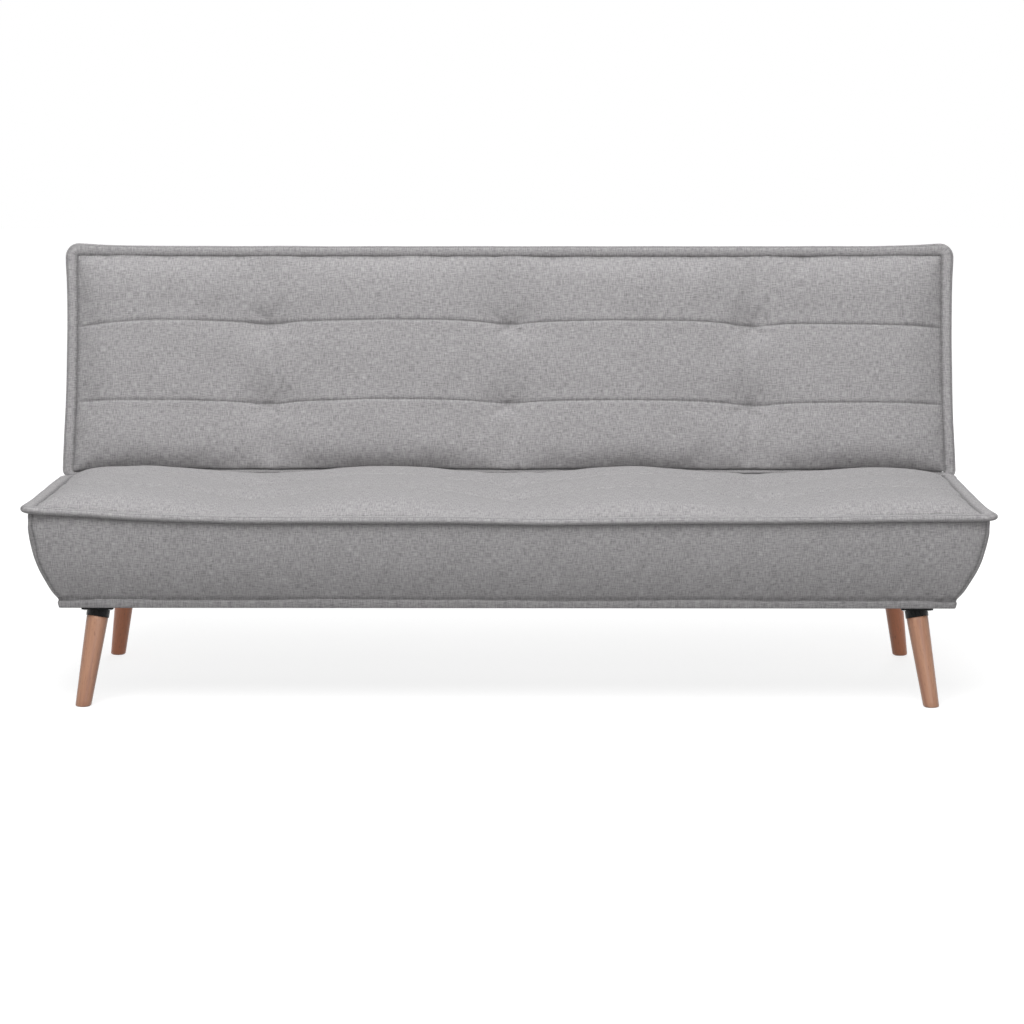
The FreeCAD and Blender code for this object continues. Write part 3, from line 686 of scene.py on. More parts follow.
@dataclass(frozen=True)
class PadSizes:
    """One pad's depth and the width of its sewn edge, with the sizes that both pads share."""

    depth: float
    edge_width: float
    half: float = 910.0
    near_tip: float = 16.0
    near_width: float = 7.0
    edge_middle: float = 15.0
    edge_thick: float = 14.0
    boxing_inset: float = 12.0
    boxing_straight: float = 26.0
    end_taper: float = 51.0
    far_taper: float = 26.0
    band_height: float = 19.0
    base: float = -171.0
    seams: tuple[float, float] = (171.0, 331.0)
    tufts: tuple[float, float, float] = (-493.0, 0.0, 493.0)

    @property
    def far_tip(self) -> float:
        """The far tip of the sewn edge."""
        return self.near_tip + self.depth

    @property
    def foot_sides(self) -> tuple[float, float]:
        """The near and the far side of the boxing at its foot."""
        near = self.near_tip + self.boxing_inset
        return near, self.far_tip - self.boxing_inset - self.far_taper

    @property
    def foot_seam(self) -> float:
        """The height of the seam above the foot band."""
        return self.base + self.band_height

    @property
    def groove(self) -> tuple[float, float, float]:
        """The groove inside the sewn edge: half width, near side and far side."""
        width = self.edge_width
        return self.half - width, self.near_tip + self.near_width, self.far_tip - width


def rounded(points: Array, half: float, near: float, far: float, radius: float) -> Array:
    """Points of a sharp rectangle moved to the same rectangle with round corners.

    Args:
        points: Rows of x and s on the sharp rectangle.
        half: Its half width.
        near: Its near side.
        far: Its far side.
        radius: The corners' radius.

    Returns:
        Rows of x and s on the rounded rectangle.
    """
    result = points.copy()
    middle_x = np.clip(points[:, 0], radius - half, half - radius)
    middle_s = np.clip(points[:, 1], near + radius, far - radius)
    offset = points - np.column_stack([middle_x, middle_s])
    corner = (np.abs(offset[:, 0]) > 1e-9) & (np.abs(offset[:, 1]) > 1e-9)
    length = np.linalg.norm(offset[corner], axis=1)[:, None]
    middle = np.column_stack([middle_x, middle_s])
    result[corner] = middle[corner] + offset[corner] / length * radius
    return result


def quarter(distance: Array, reach: float) -> Array:
    """A quarter of an ellipse: 0 at no distance, level at its reach."""
    share = np.clip(distance / reach, 0.0, 1.0)
    return np.sqrt(1.0 - (1.0 - share) ** 2)


def edge_order(wide: int, deep: int) -> list[tuple[int, int]]:
    """The cells round the edge of a grid.

    Args:
        wide: The grid's columns.
        deep: The grid's rows.

    Returns:
        Column and row of each cell, once round from the first corner.
    """
    order = [(i, 0) for i in range(wide)]
    order += [(wide - 1, j) for j in range(1, deep)]
    order += [(i, deep - 1) for i in range(wide - 2, -1, -1)]
    order += [(0, j) for j in range(deep - 2, 0, -1)]
    return order


Table = tuple[tuple[float, ...], tuple[float, ...]]


def read_table(table: Table, places: Array) -> Array:
    """Soft interpolation in a table.

    Args:
        table: Places along a pad and the value at each.
        places: Where to read it.

    Returns:
        The values there.
    """
    softness = 24.0
    spread = softness * (np.linspace(0.0, 1.0, 9) - 0.5)
    values = sum(np.interp(places + offset, *table) for offset in spread)
    return values / len(spread)


@dataclass(frozen=True)
class Sewing:
    """How one made-up pad departs from its plain form.

    far_lift and near_lift stand the edge out of its level, and wander moves the two seams across
    the pad. skew draws the far right corner out, pinch draws the ends in between their corners,
    near_drop and far_sag curve the two long sides, and gather swells the edge at its near right
    corner.
    """

    far_lift: Table
    near_lift: Table
    wander: tuple[Table, Table]
    skew: float = 0.0
    pinch: float = 0.0
    near_drop: float = 0.0
    far_sag: float = 0.0
    gather: float = 0.0

    def lift(self, x: Array, share: Array) -> Array:
        """Millimetres out of level, at a share across from 0 at the hinge to 1 at the far side."""
        share = np.clip(share, 0.0, 1.0)
        return read_table(self.near_lift, x) * (1.0 - share) + read_table(self.far_lift, x) * share

    def bend(self, points: Array, sizes: PadSizes) -> Array:
        """Points of the plain form moved to where the made-up pad has them.

        Args:
            points: Rows of x, s and z.
            sizes: The pad's sizes.

        Returns:
            The moved rows.
        """
        x, s, z = points.T
        share = np.clip((s - sizes.near_tip) / (sizes.far_tip - sizes.near_tip), 0.0, 1.0)
        top = np.clip((z - sizes.base) / (sizes.edge_middle - sizes.base), 0.0, 1.0)
        end = np.clip(np.abs(x) / sizes.half, 0.0, 1.0)
        moved = points.astype(float).copy()
        moved[:, 2] += self.lift(x, share) * top ** 1.5
        for seam, table in zip(sizes.seams, self.wander):
            away = (s - seam) / 60.0
            on_top = np.clip(top * 4.0 - 3.0, 0.0, 1.0)
            moved[:, 1] += read_table(table, x) * np.exp(-(away ** 2)) * on_top
        right = np.where(x > 0, end, 0.0) ** 3
        moved[:, 0] += self.skew * right * top * share ** 6
        moved[:, 0] -= np.sign(x) * self.pinch * end ** 3 * np.sin(np.pi * share) * top ** 2
        moved[:, 1] -= self.near_drop * (1.0 + 1.7 * end ** 8) * (1.0 - share) ** 6 * top
        moved[:, 1] += self.far_sag * (end ** 6 - 0.55) * share ** 6 * top
        return moved


SEAT_SEWING = Sewing(
    far_lift=(
        (-910.0, -886.0, -834.0, -793.0, -722.0, -630.0, -516.0, -373.0, -90.0, 67.0, 180.0, 300.0,
         450.0, 622.0, 733.0, 865.0, 912.0),
        (6.0, 4.5, 0.8, -1.1, -6.8, -10.6, -14.0, -14.3, -14.3, -17.8, -16.2, -14.5,
         -14.3, -12.5, -10.8, -9.0, -8.0),
    ),
    near_lift=(
        (-910.0, -820.0, -600.0, 0.0, 600.0, 820.0, 910.0),
        (-5.0, -3.0, 0.0, 0.0, -1.5, -5.5, -8.0),
    ),
    wander=(
        (
            (-886.0, -493.0, -250.0, 0.0, 250.0, 493.0, 886.0),
            (0.0, 3.0, -2.0, 4.0, -2.0, 3.0, -2.0),
        ),
        (
            (-886.0, -493.0, -250.0, 0.0, 250.0, 493.0, 886.0),
            (0.0, 3.0, -2.0, 3.0, -1.0, 4.0, 0.0),
        ),
    ),
    skew=9.0,
    near_drop=-1.5,
    gather=1.0,
)
BACK_SEWING = Sewing(
    far_lift=((-910.0, 910.0), (0.0, 0.0)),
    near_lift=((-910.0, 910.0), (0.0, 0.0)),
    wander=(
        (
            (-886.0, -630.0, -540.0, -493.0, -430.0, -245.0, -100.0, 0.0, 105.0, 390.0, 450.0,
             496.0, 550.0, 600.0, 886.0),
            (-11.0, -10.5, -12.5, -16.0, -11.0, -8.0, -9.0, -13.5, -10.0, -11.0, -14.0,
             -19.5, -16.0, -14.5, -15.5),
        ),
        (
            (-886.0, -735.0, -570.0, -530.0, -493.0, -440.0, -120.0, -50.0, 6.0, 60.0, 390.0, 450.0,
             498.0, 550.0, 575.0, 800.0, 886.0),
            (-17.0, -6.0, -6.0, -8.0, -11.0, -6.0, -4.5, -7.0, -11.0, -7.0, -6.5, -9.0,
             -16.0, -12.5, -11.0, -16.5, -17.5),
        ),
    ),
    pinch=4.5,
    near_drop=4.0,
    far_sag=4.0,
)

# How far the ends are drawn in, by depth below the boxing's straight part
DRAW_TABLE: Table = (
    (0.0, 0.14, 0.29, 0.44, 0.585, 0.70, 0.79, 0.88, 0.97, 1.0),
    (0.0, 0.06, 0.137, 0.228, 0.365, 0.52, 0.64, 0.75, 0.93, 1.0),
)


@dataclass
class SewnPart:
    """A part of one pad's cover: where the pad is, its sizes and how it was made up."""

    space: PadSpace
    sizes: PadSizes
    sewing: Sewing

    def made_up(self, points: Array) -> Array:
        """Points of the plain form as points of the sofa, in metres."""
        return self.space.to_sofa(self.sewing.bend(points, self.sizes))


@dataclass
class Upholstery(SewnPart):
    """One pad's padded form: crown with two seams and six tufts, and the boxing drawn in below.

    The crown rises to its full height over end_reach and side_reach, sinks by valley between the
    tufts' columns and by seam_dip and tuft_dip at seams and tufts. near_gain steepens it beside
    the hinge, and puff is the most that the cloth simulation may add.
    """

    crown: float
    near_gain: float
    valley: float = 17.0
    end_reach: float = 110.0
    side_reach: float = 85.0
    seam_dip: float = 3.5
    tuft_dip: float = 15.0
    puff: float = 5.0
    hidden_rise: float = 3.0
    row_pitch: float = 12.5
    seam_waves: tuple[float, ...] = (17.0, 23.0, 31.0, 47.0)
    foot_waves: tuple[float, ...] = (29.0, 41.0, 67.0)
    tuft_folds: tuple[tuple[int, float], ...] = ((3, 0.5), (5, 1.0), (8, 0.75), (11, 0.4))
    seed: int = 4
    wide: int = field(default=0, init=False)
    deep: int = field(default=0, init=False)
    ring: list[int] = field(default_factory=list, init=False)
    points: Array = field(default_factory=lambda: np.zeros((0, 3)), init=False)

    def columns(self) -> Array:
        """Places along the pad, close together at the ends.

        Returns:
            The places, in order.
        """
        half = self.sizes.groove[0]
        ends = [0.0, 3.0, 7.0, 12.0, 18.0, 26.0, 36.0, 48.0]
        places = [half - end for end in ends] + [end - half for end in ends]
        places += list(np.linspace(ends[-1] - half, half - ends[-1], 171)[1:-1])
        return np.array(sorted(places))

    def rows(self) -> Array:
        """Places across the pad, close together at the seams and at the edges.

        Returns:
            The places, in order.
        """
        _, near, far = self.sizes.groove
        first, second = self.sizes.seams
        at_edge, at_seam = (0.0, 3.0, 7.0, 12.0, 18.0, 26.0), (0.0, 2.0, 4.5, 8.0, 13.0, 20.0)
        places: set[float] = set()
        for step in at_edge:
            places |= {near + step, far - step}
        for step in at_seam:
            places |= {first + step, first - step, second + step, second - step}
        by_edge, by_seam = at_edge[-1], at_seam[-1]
        lows = (near + by_edge, first + by_seam, second + by_seam)
        highs = (first - by_seam, second - by_seam, far - by_edge)
        for low, high in zip(lows, highs):
            count = max(2, int(round((high - low) / self.row_pitch)))
            places |= set(np.linspace(low, high, count + 1)[1:-1])
        return np.array(sorted(places))

    def height(self, x: Array, s: Array) -> Array:
        """The crown's height above the groove.

        Args:
            x: Places along the pad.
            s: Places across the pad.

        Returns:
            Heights in millimetres.
        """
        half, near, far = self.sizes.groove
        inner = np.minimum((s - near) * self.near_gain, far - s)
        rise = quarter(half - np.abs(x), self.end_reach) * quarter(inner, self.side_reach)
        pitch = self.sizes.tufts[2]
        between = np.where(np.abs(x) < pitch * 1.5, 0.5 + 0.5 * np.cos(2 * np.pi * x / pitch), 0.0)
        level = self.crown - self.valley * between
        for seam in self.sizes.seams:
            away = np.abs(s - seam)
            level = level - self.seam_dip * np.exp(-((away / 30.0) ** 1.4))
            for tuft in self.sizes.tufts:
                spread = np.sqrt((np.abs(x - tuft) / 1.5) ** 2 + away ** 2)
                level = level - self.tuft_dip * np.exp(-((spread / 24.0) ** 1.1))
        return rise * level

    def loops(self, edge: Array) -> list[Array]:
        """The boxing's loops from under the sewn edge down to the base.

        Args:
            edge: The groove's loop, rows of x and s on a sharp rectangle.

        Returns:
            One array of x, s and z for each loop, from the top down.
        """
        sizes = self.sizes
        groove_half, groove_near, groove_far = sizes.groove
        middle = (groove_near + groove_far) / 2
        reach = (groove_far - groove_near) / 2
        shares = np.column_stack([edge[:, 0] / groove_half, (edge[:, 1] - middle) / reach])
        under = sizes.edge_middle - sizes.edge_thick / 2
        turn = under - sizes.boxing_straight
        low = sizes.foot_seam
        # Height, how far the loop is tucked in, and how far the ends are drawn in
        levels = [(sizes.edge_middle - 2.0, 6.0, 0.0)]
        levels += [(height, 0.0, 0.0) for height in np.linspace(under, turn, 5)]
        for share in np.linspace(0.0, 1.0, 17)[1:]:
            levels.append((turn + (low - turn) * share, 0.0, float(np.interp(share, *DRAW_TABLE))))
        result = []
        for height, tuck, draw in levels:
            half = sizes.half - sizes.boxing_inset - sizes.end_taper * draw - tuck
            near = sizes.near_tip + sizes.boxing_inset + tuck
            far = sizes.far_tip - sizes.boxing_inset - sizes.far_taper * draw - tuck
            across = (near + far) / 2 + shares[:, 1] * (far - near) / 2
            sharp = np.column_stack([shares[:, 0] * half, across])
            flat = rounded(sharp, half, near, far, 13.0 - 9.0 * draw)
            result.append(np.column_stack([flat, np.full(len(flat), height)]))
        # Two loops behind the foot band, each a little further in
        for tuck, height in ((0.6, low - 4.0), (1.8, sizes.base + self.hidden_rise)):
            last = result[-1].copy()
            inner = last[:, :2] - np.array([0.0, middle])
            last[:, :2] -= np.sign(inner) * np.minimum(np.abs(inner), tuck)
            last[:, 2] = height
            result.append(last)
        return result

    def build(self, cloth: bpy.types.Material) -> bpy.types.Object:
        """Build the form, settle it as cloth and sew its seams.

        Args:
            cloth: The upholstery cloth.

        Returns:
            The padded piece.
        """
        xs, ss = self.columns(), self.rows()
        wide, deep = len(xs), len(ss)
        grid_x, grid_s = np.meshgrid(xs, ss, indexing="ij")
        groove = self.sizes.edge_middle + 1.0
        height = groove + self.height(grid_x, grid_s)
        top = np.column_stack([grid_x.ravel(), grid_s.ravel(), height.ravel()])
        ring = [i * deep + j for i, j in edge_order(wide, deep)]
        loops = self.loops(top[ring][:, :2])
        points = np.vstack([top] + loops)
        faces: list[tuple[int, ...]] = []
        coordinates: list[list[tuple[float, float]]] = []
        for i in range(wide - 1):
            for j in range(deep - 1):
                face = (i * deep + j, (i + 1) * deep + j, (i + 1) * deep + j + 1, i * deep + j + 1)
                faces.append(face)
                coordinates.append([(points[c][0] * MM, points[c][1] * MM) for c in face])
        count = len(ring)
        upper = ring
        for level in range(len(loops)):
            start = wide * deep + level * count
            lower = list(range(start, start + count))
            for k in range(count):
                after = (k + 1) % count
                face = (upper[k], lower[k], lower[after], upper[after])
                faces.append(face)
                run = np.abs(points[upper[k]] - points[upper[after]])
                axis = 1 if run[0] < run[1] else 0
                coordinates.append([(points[c][axis] * MM, points[c][2] * MM + 2.0) for c in face])
            upper = lower
        points, under = self.close_under(points, upper, wide, deep)
        for face in under:
            faces.append(face)
            coordinates.append([(points[c][0] * MM, points[c][1] * MM + 5.0) for c in face])
        body = self.space.pad.value
        piece = make_mesh(f"{body}_upholstery", self.made_up(points), faces, outward=False)
        keep_weave(piece.data, [value for face in coordinates for pair in face for value in pair])
        turn_outwards(piece.data)
        self.wide, self.deep, self.ring, self.points = wide, deep, ring, points
        self.relax(piece)
        self.sew(piece)
        subdivide(piece)
        self.pucker(piece)
        self.thin_base(piece)
        dress(piece, body, cloth)
        return piece

    def close_under(
        self, points: Array, ring: Sequence[int], wide: int, deep: int
    ) -> tuple[Array, list[tuple[int, ...]]]:
        """Fill the lowest loop with a flat grid.

        Args:
            points: All points so far.
            ring: The lowest loop's points, in the order of the top grid's edge.
            wide: Columns of the top grid.
            deep: Rows of the top grid.

        Returns:
            All points with the grid's own, and the faces that close the form.
        """
        grid = np.zeros((wide, deep), int)
        for cell, number in zip(edge_order(wide, deep), ring):
            grid[cell] = number
        inner = []
        for i in range(1, wide - 1):
            near, far = points[grid[i, 0]], points[grid[i, deep - 1]]
            for j in range(1, deep - 1):
                grid[i, j] = len(points) + len(inner)
                inner.append(near + (far - near) * j / (deep - 1))
        faces = [
            (int(grid[i, j]), int(grid[i, j + 1]), int(grid[i + 1, j + 1]), int(grid[i + 1, j]))
            for i in range(wide - 1)
            for j in range(deep - 1)
        ]
        return np.vstack([points, inner]), faces

    def relax(self, piece: bpy.types.Object) -> None:
        """Let the cover fill out as cloth, held at its edges, its base and its tufts.

        Args:
            piece: The upholstery mesh, which is changed.
        """
        rest = read_points(piece.data)
        held = np.zeros(len(rest))
        top = self.wide * self.deep
        held[self.ring] = 1.0
        held[top: top + 2 * len(self.ring)] = 1.0
        held[self.points[:, 2] < self.sizes.foot_seam + 1.0] = 1.0
        x, s = self.points[:top, 0], self.points[:top, 1]
        for seam in self.sizes.seams:
            for tuft in self.sizes.tufts:
                away = np.hypot(x - tuft, s - seam)
                held[:top] = np.maximum(held[:top], (away < 9.0).astype(float))
        group = piece.vertex_groups.new(name="Held")
        group.add([int(index) for index in np.nonzero(held >= 1.0)[0]], 1.0, "REPLACE")
        modifier = piece.modifiers.new("Cover", "CLOTH")
        settings = modifier.settings
        cover = {
            "vertex_group_mass": "Held", "quality": 5, "mass": 0.25, "tension_stiffness": 12.0,
            "compression_stiffness": 12.0, "shear_stiffness": 6.0, "bending_stiffness": 0.6,
            "use_pressure": True, "uniform_pressure_force": 4.0, "shrink_min": -0.012,
        }
        for name, value in cover.items():
            setattr(settings, name, value)
        settings.effector_weights.gravity = 0.0
        scene, last_frame = bpy.context.scene, 20
        modifier.point_cache.frame_start = 1
        modifier.point_cache.frame_end = last_frame
        for frame in range(1, last_frame + 1):
            scene.frame_set(frame)
        graph = bpy.context.evaluated_depsgraph_get()
        after = read_points(piece.evaluated_get(graph).data)
        scene.frame_set(1)
        piece.modifiers.clear()
        piece.vertex_groups.clear()
        move = after - rest
        length = np.linalg.norm(move, axis=1)
        cap = self.puff * MM
        move *= (cap * np.tanh(length / cap) / np.maximum(length, 1e-9))[:, None]
        mean, most = length.mean() / MM, length.max() / MM
        LOG.info("%s cover moved %.1f mm on average, %.1f mm at most", piece.name, mean, most)
        write_points(piece.data, rest + move)

    def sew(self, piece: bpy.types.Object) -> None:
        """Sink the cross seams and paint shade into them, the tufts and the boxing's corner seams.

        Args:
            piece: The upholstery mesh, which is changed.
        """
        points = read_points(piece.data)
        top = self.wide * self.deep
        x, s = self.points[:top, 0], self.points[:top, 1]
        half = self.sizes.groove[0]
        sink = np.zeros(len(points))
        # Painted shade: darkens the cloth along the seams, round the tufts, in the groove and at
        # corner and foot seams
        painted_shade = np.zeros(len(points))
        for seam in self.sizes.seams:
            away = np.abs(s - seam)
            sink[:top] += 2.0 * np.exp(-((away / 1.7) ** 2))
            sink[:top] -= 0.9 * np.exp(-(((away - 8.0) / 6.0) ** 2))
            shown = np.clip((x + half) / 260.0, 0.35, 1.0)
            painted_shade[:top] = np.maximum(painted_shade[:top], shown * np.exp(-((away / 1.2) ** 2)))
            for tuft in self.sizes.tufts:
                spread = np.hypot((x - tuft) / 2.2, away)
                painted_shade[:top] = np.maximum(painted_shade[:top], 0.6 * np.exp(-((spread / 7.0) ** 2)))
        fade = np.clip((half - np.abs(x)) / 12.0, 0.0, 1.0)
        sink[:top] *= fade
        _, near, far = self.sizes.groove
        inside = np.minimum(half - np.abs(x), np.minimum(s - near, far - s))
        painted_shade[:top] = np.maximum(painted_shade[:top], np.exp(-((inside / 3.2) ** 2)))
        # Painted shade of the corner and foot seams, and how far the corner seams are drawn in
        shade, depth = 0.85, 1.1
        inward = np.zeros_like(self.points)
        count = len(self.ring)
        corners = (0, self.wide - 1, self.wide + self.deep, 2 * self.wide + self.deep - 5)
        for level in range(1, (len(points) - top) // count):
            for corner in corners:
                index = top + level * count + corner
                if index >= len(points) or self.points[index, 2] < self.sizes.foot_seam:
                    continue
                place = self.points[index]
                painted_shade[index] = shade
                inward[index, 0] = -np.sign(place[0]) * depth
                inward[index, 1] = np.sign(near + far - 2 * place[1]) * depth
        foot = (self.points[:, 2] < self.sizes.foot_seam + 1.0) & (np.arange(len(points)) >= top)
        painted_shade[foot] = shade
        lowered = self.points + inward
        lowered[:, 2] -= sink
        points += self.space.to_sofa(lowered) - self.space.to_sofa(self.points)
        write_points(piece.data, points)
        keep_attribute(piece.data, "PaintedShade", painted_shade)
        keep_attribute(piece.data, "Plain", self.points)

    def pucker(self, piece: bpy.types.Object) -> None:
        """Gather the cloth into small folds at the tufts, along the seams and above the foot band.

        Args:
            piece: The subdivided upholstery mesh, which is changed.
        """
        count = len(piece.data.vertices)
        flat = np.zeros(count * 3, np.float32)
        piece.data.attributes["Plain"].data.foreach_get("vector", flat)
        x, s, z = flat.reshape(-1, 3).astype(float).T
        random = np.random.default_rng(self.seed)
        full_turn, phases = 2 * np.pi, 6.28
        on_top = np.clip((z - self.sizes.edge_middle + 1.0) / 3.0, 0.0, 1.0)
        height = np.zeros(count)
        for seam in self.sizes.seams:
            away = s - seam
            beside = np.exp(-np.abs(away) / 11.0) * (1.0 - np.exp(-((away / 3.0) ** 2)))
            gathers = np.zeros(count)
            for wave in self.seam_waves:
                phase = random.uniform(0, full_turn) + np.sign(away) * 0.9
                gathers += np.sin(full_turn * x / wave + phase)
            height += 0.16 * gathers * beside
            for tuft in self.sizes.tufts:
                reach = np.hypot(x - tuft, away)
                angle = np.arctan2(away, x - tuft)
                folds = np.zeros(count)
                for waves, share in self.tuft_folds:
                    folds += share * np.sin(waves * angle + random.uniform(0, full_turn))
                ring = (reach / 16.0) * np.exp(1.0 - reach / 16.0)
                height += 1.5 * folds * ring * np.exp(-((reach / 60.0) ** 2))
                height -= 5.0 * np.exp(-((reach / 8.0) ** 2))
        broad = np.zeros(count)
        for _ in range(14):
            turn, wave = random.uniform(0, np.pi), random.uniform(70.0, 190.0)
            along = x * np.cos(turn) + s * np.sin(turn)
            broad += np.sin(full_turn * along / wave + random.uniform(0, phases))
        height += 0.22 * broad
        height *= on_top
        low = self.sizes.foot_seam
        around = np.where(np.abs(x) > self.sizes.half - 80.0, s, x)
        foot = np.exp(-np.clip(z - low, 0.0, None) / 14.0) * (z > low - 1.0) * (1.0 - on_top)
        gathers = np.zeros(count)
        for wave in self.foot_waves:
            gathers += np.sin(full_turn * around / wave + random.uniform(0, phases))
        corner = np.exp(-((self.sizes.half - np.abs(x)) / 190.0) ** 2)
        height += gathers * foot * (0.25 + 0.75 * corner)
        points = read_points(piece.data)
        normals = np.zeros(count * 3, np.float32)
        piece.data.vertex_normals.foreach_get("vector", normals)
        write_points(piece.data, points + normals.reshape(-1, 3) * (height * MM)[:, None])
        piece.data.attributes.remove(piece.data.attributes["Plain"])

    def thin_base(self, piece: bpy.types.Object) -> None:
        """Join the flat hidden faces under the form into one.

        Args:
            piece: The upholstery mesh, which is changed.
        """
        work = bmesh.new()
        work.from_mesh(piece.data)
        deepest = -(self.sizes.base + self.hidden_rise) * MM - 0.0015
        origin, axis = self.space.down()
        flat = [
            face for face in work.faces
            if face.normal.dot(axis) > 0.999
            and (face.calc_center_median() - origin).dot(axis) > deepest
        ]
        bmesh.ops.dissolve_faces(work, faces=flat, use_verts=False)
        work.to_mesh(piece.data)
        work.free()


def read_points(mesh: bpy.types.Mesh) -> Array:
    """A mesh's points.

    Args:
        mesh: The mesh.

    Returns:
        The points, one to a row.
    """
    flat = np.zeros(len(mesh.vertices) * 3, np.float32)
    mesh.vertices.foreach_get("co", flat)
    return flat.reshape(-1, 3).astype(float)


def write_points(mesh: bpy.types.Mesh, points: Array) -> None:
    """Move a mesh's points."""
    mesh.vertices.foreach_set("co", points.astype(np.float32).ravel())
    mesh.update()


def rectangle_path(
    half: float, near: float, far: float, radius: float, step: float = 9.0, arc: int = 9
) -> tuple[Array, Array]:
    """A closed path round a rectangle with round corners.

    Args:
        half: Half width.
        near: Near side.
        far: Far side.
        radius: Corner radius.
        step: Spacing along the straights.
        arc: Points on each corner.

    Returns:
        Rows of x and s, and the outward direction at each.
    """
    corners = [(half, far, 0.0), (-half, far, 90.0), (-half, near, 180.0), (half, near, 270.0)]
    points: list[tuple[float, float]] = []
    outward: list[tuple[float, float]] = []
    for index, (x, s, start) in enumerate(corners):
        centre_x = x - math.copysign(radius, x)
        centre_s = s - radius if s == far else s + radius
        for k in range(arc):
            angle = math.radians(start + 90.0 * k / (arc - 1))
            dx, ds = math.cos(angle), math.sin(angle)
            outward.append((dx, ds))
            points.append((centre_x + radius * dx, centre_s + radius * ds))
        next_x, next_s, next_start = corners[(index + 1) % 4]
        angle = math.radians(next_start)
        goal_x = next_x - math.copysign(radius, next_x) + radius * math.cos(angle)
        goal_s = (next_s - radius if next_s == far else next_s + radius) + radius * math.sin(angle)
        from_x, from_s = points[-1]
        count = max(2, int(math.hypot(goal_x - from_x, goal_s - from_s) / step))
        for k in range(1, count):
            share = k / count
            points.append((from_x + (goal_x - from_x) * share, from_s + (goal_s - from_s) * share))
            outward.append((math.cos(angle), math.sin(angle)))
    return np.array(points), np.array(outward)


def closed_lengths(line: Array) -> Array:
    """Lengths along a closed line, from 0 at its first point to the whole way round."""
    steps = np.linalg.norm(np.diff(np.vstack([line, line[:1]]), axis=0), axis=1)
    return np.concatenate([[0.0], np.cumsum(steps)])


def sweep_section(
    part: SewnPart,
    name: str,
    path: Array,
    outward: Array,
    section: Callable[[int], Array],
    painted_shade: Array,
) -> bpy.types.Object:
    """A closed tube: a section carried round a closed path.

    Args:
        part: The part of the cover that the tube belongs to.
        name: The piece's name.
        path: Rows of x, s and z.
        outward: The outward direction at each row, in x and s.
        section: Gives rows of distance outwards and height for a place on the path.
        painted_shade: How much painted shade each point of the section carries.

    Returns:
        The piece, with its Weave coordinates and its painted shade attribute.
    """
    count = len(path)
    rings = []
    for index in range(count):
        shape = section(index)
        flat = path[index, :2] + outward[index] * shape[:, :1]
        rings.append(np.column_stack([flat, path[index, 2] + shape[:, 1]]))
    around = len(rings[0])
    along, girth = closed_lengths(path), closed_lengths(rings[0])
    faces = []
    flat_uv: list[float] = []
    for i in range(count):
        for j in range(around):
            after, beside = (i + 1) % count, (j + 1) % around
            here, ahead = i * around, after * around
            faces.append((here + j, ahead + j, ahead + beside, here + beside))
            for a, b in ((i, j), (i + 1, j), (i + 1, j + 1), (i, j + 1)):
                flat_uv += [along[a] * MM, girth[b] * MM]
    piece = make_mesh(name, part.made_up(np.vstack(rings)), faces, outward=False)
    keep_weave(piece.data, flat_uv)
    keep_attribute(piece.data, "PaintedShade", np.tile(painted_shade, count))
    turn_outwards(piece.data)
    return piece


# The rolled edge's section: distance outwards from the groove, height and painted shade, deepest in
# the groove, under the roll and at the stitch line
EDGE_SECTION: Array = np.array(
    [
        (-5.0, 0.0, 1.0), (-4.0, 3.0, 1.0), (-1.5, 4.2, 1.0), (1.0, 5.2, 0.55),
        (3.5, 6.0, 0.1), (7.0, 6.9, 0.0), (11.0, 7.4, 0.0), (14.5, 7.4, 0.0),
        (17.6, 6.6, 0.0), (19.2, 5.4, 0.7), (20.8, 5.2, 0.0), (23.0, 3.2, 0.0),
        (24.0, 0.0, 0.0), (23.4, -2.8, 0.0), (21.4, -5.2, 0.0), (18.2, -6.7, 0.0),
        (15.0, -7.0, 0.15), (12.4, -6.4, 0.7), (8.0, -6.2, 1.0), (3.0, -5.0, 1.0),
        (-2.0, -4.0, 1.0), (-4.5, -2.6, 1.0),
    ]
)

# The foot band's section, from its seam's inner side round the roll and back: distance out, height
# and painted shade, a little over its face and most at the seam above it
BAND_SECTION: Array = np.array(
    [
        (0.3, 0.3, 0.6), (0.9, 0.0, 0.4), (1.7, 0.8, 0.3), (2.4, 2.8, 0.25), (3.2, 6.5, 0.2),
        (4.0, 10.5, 0.2), (4.3, 13.6, 0.25), (3.5, 16.2, 0.6), (2.0, 17.6, 1.0), (0.3, 17.2, 1.0),
    ]
)


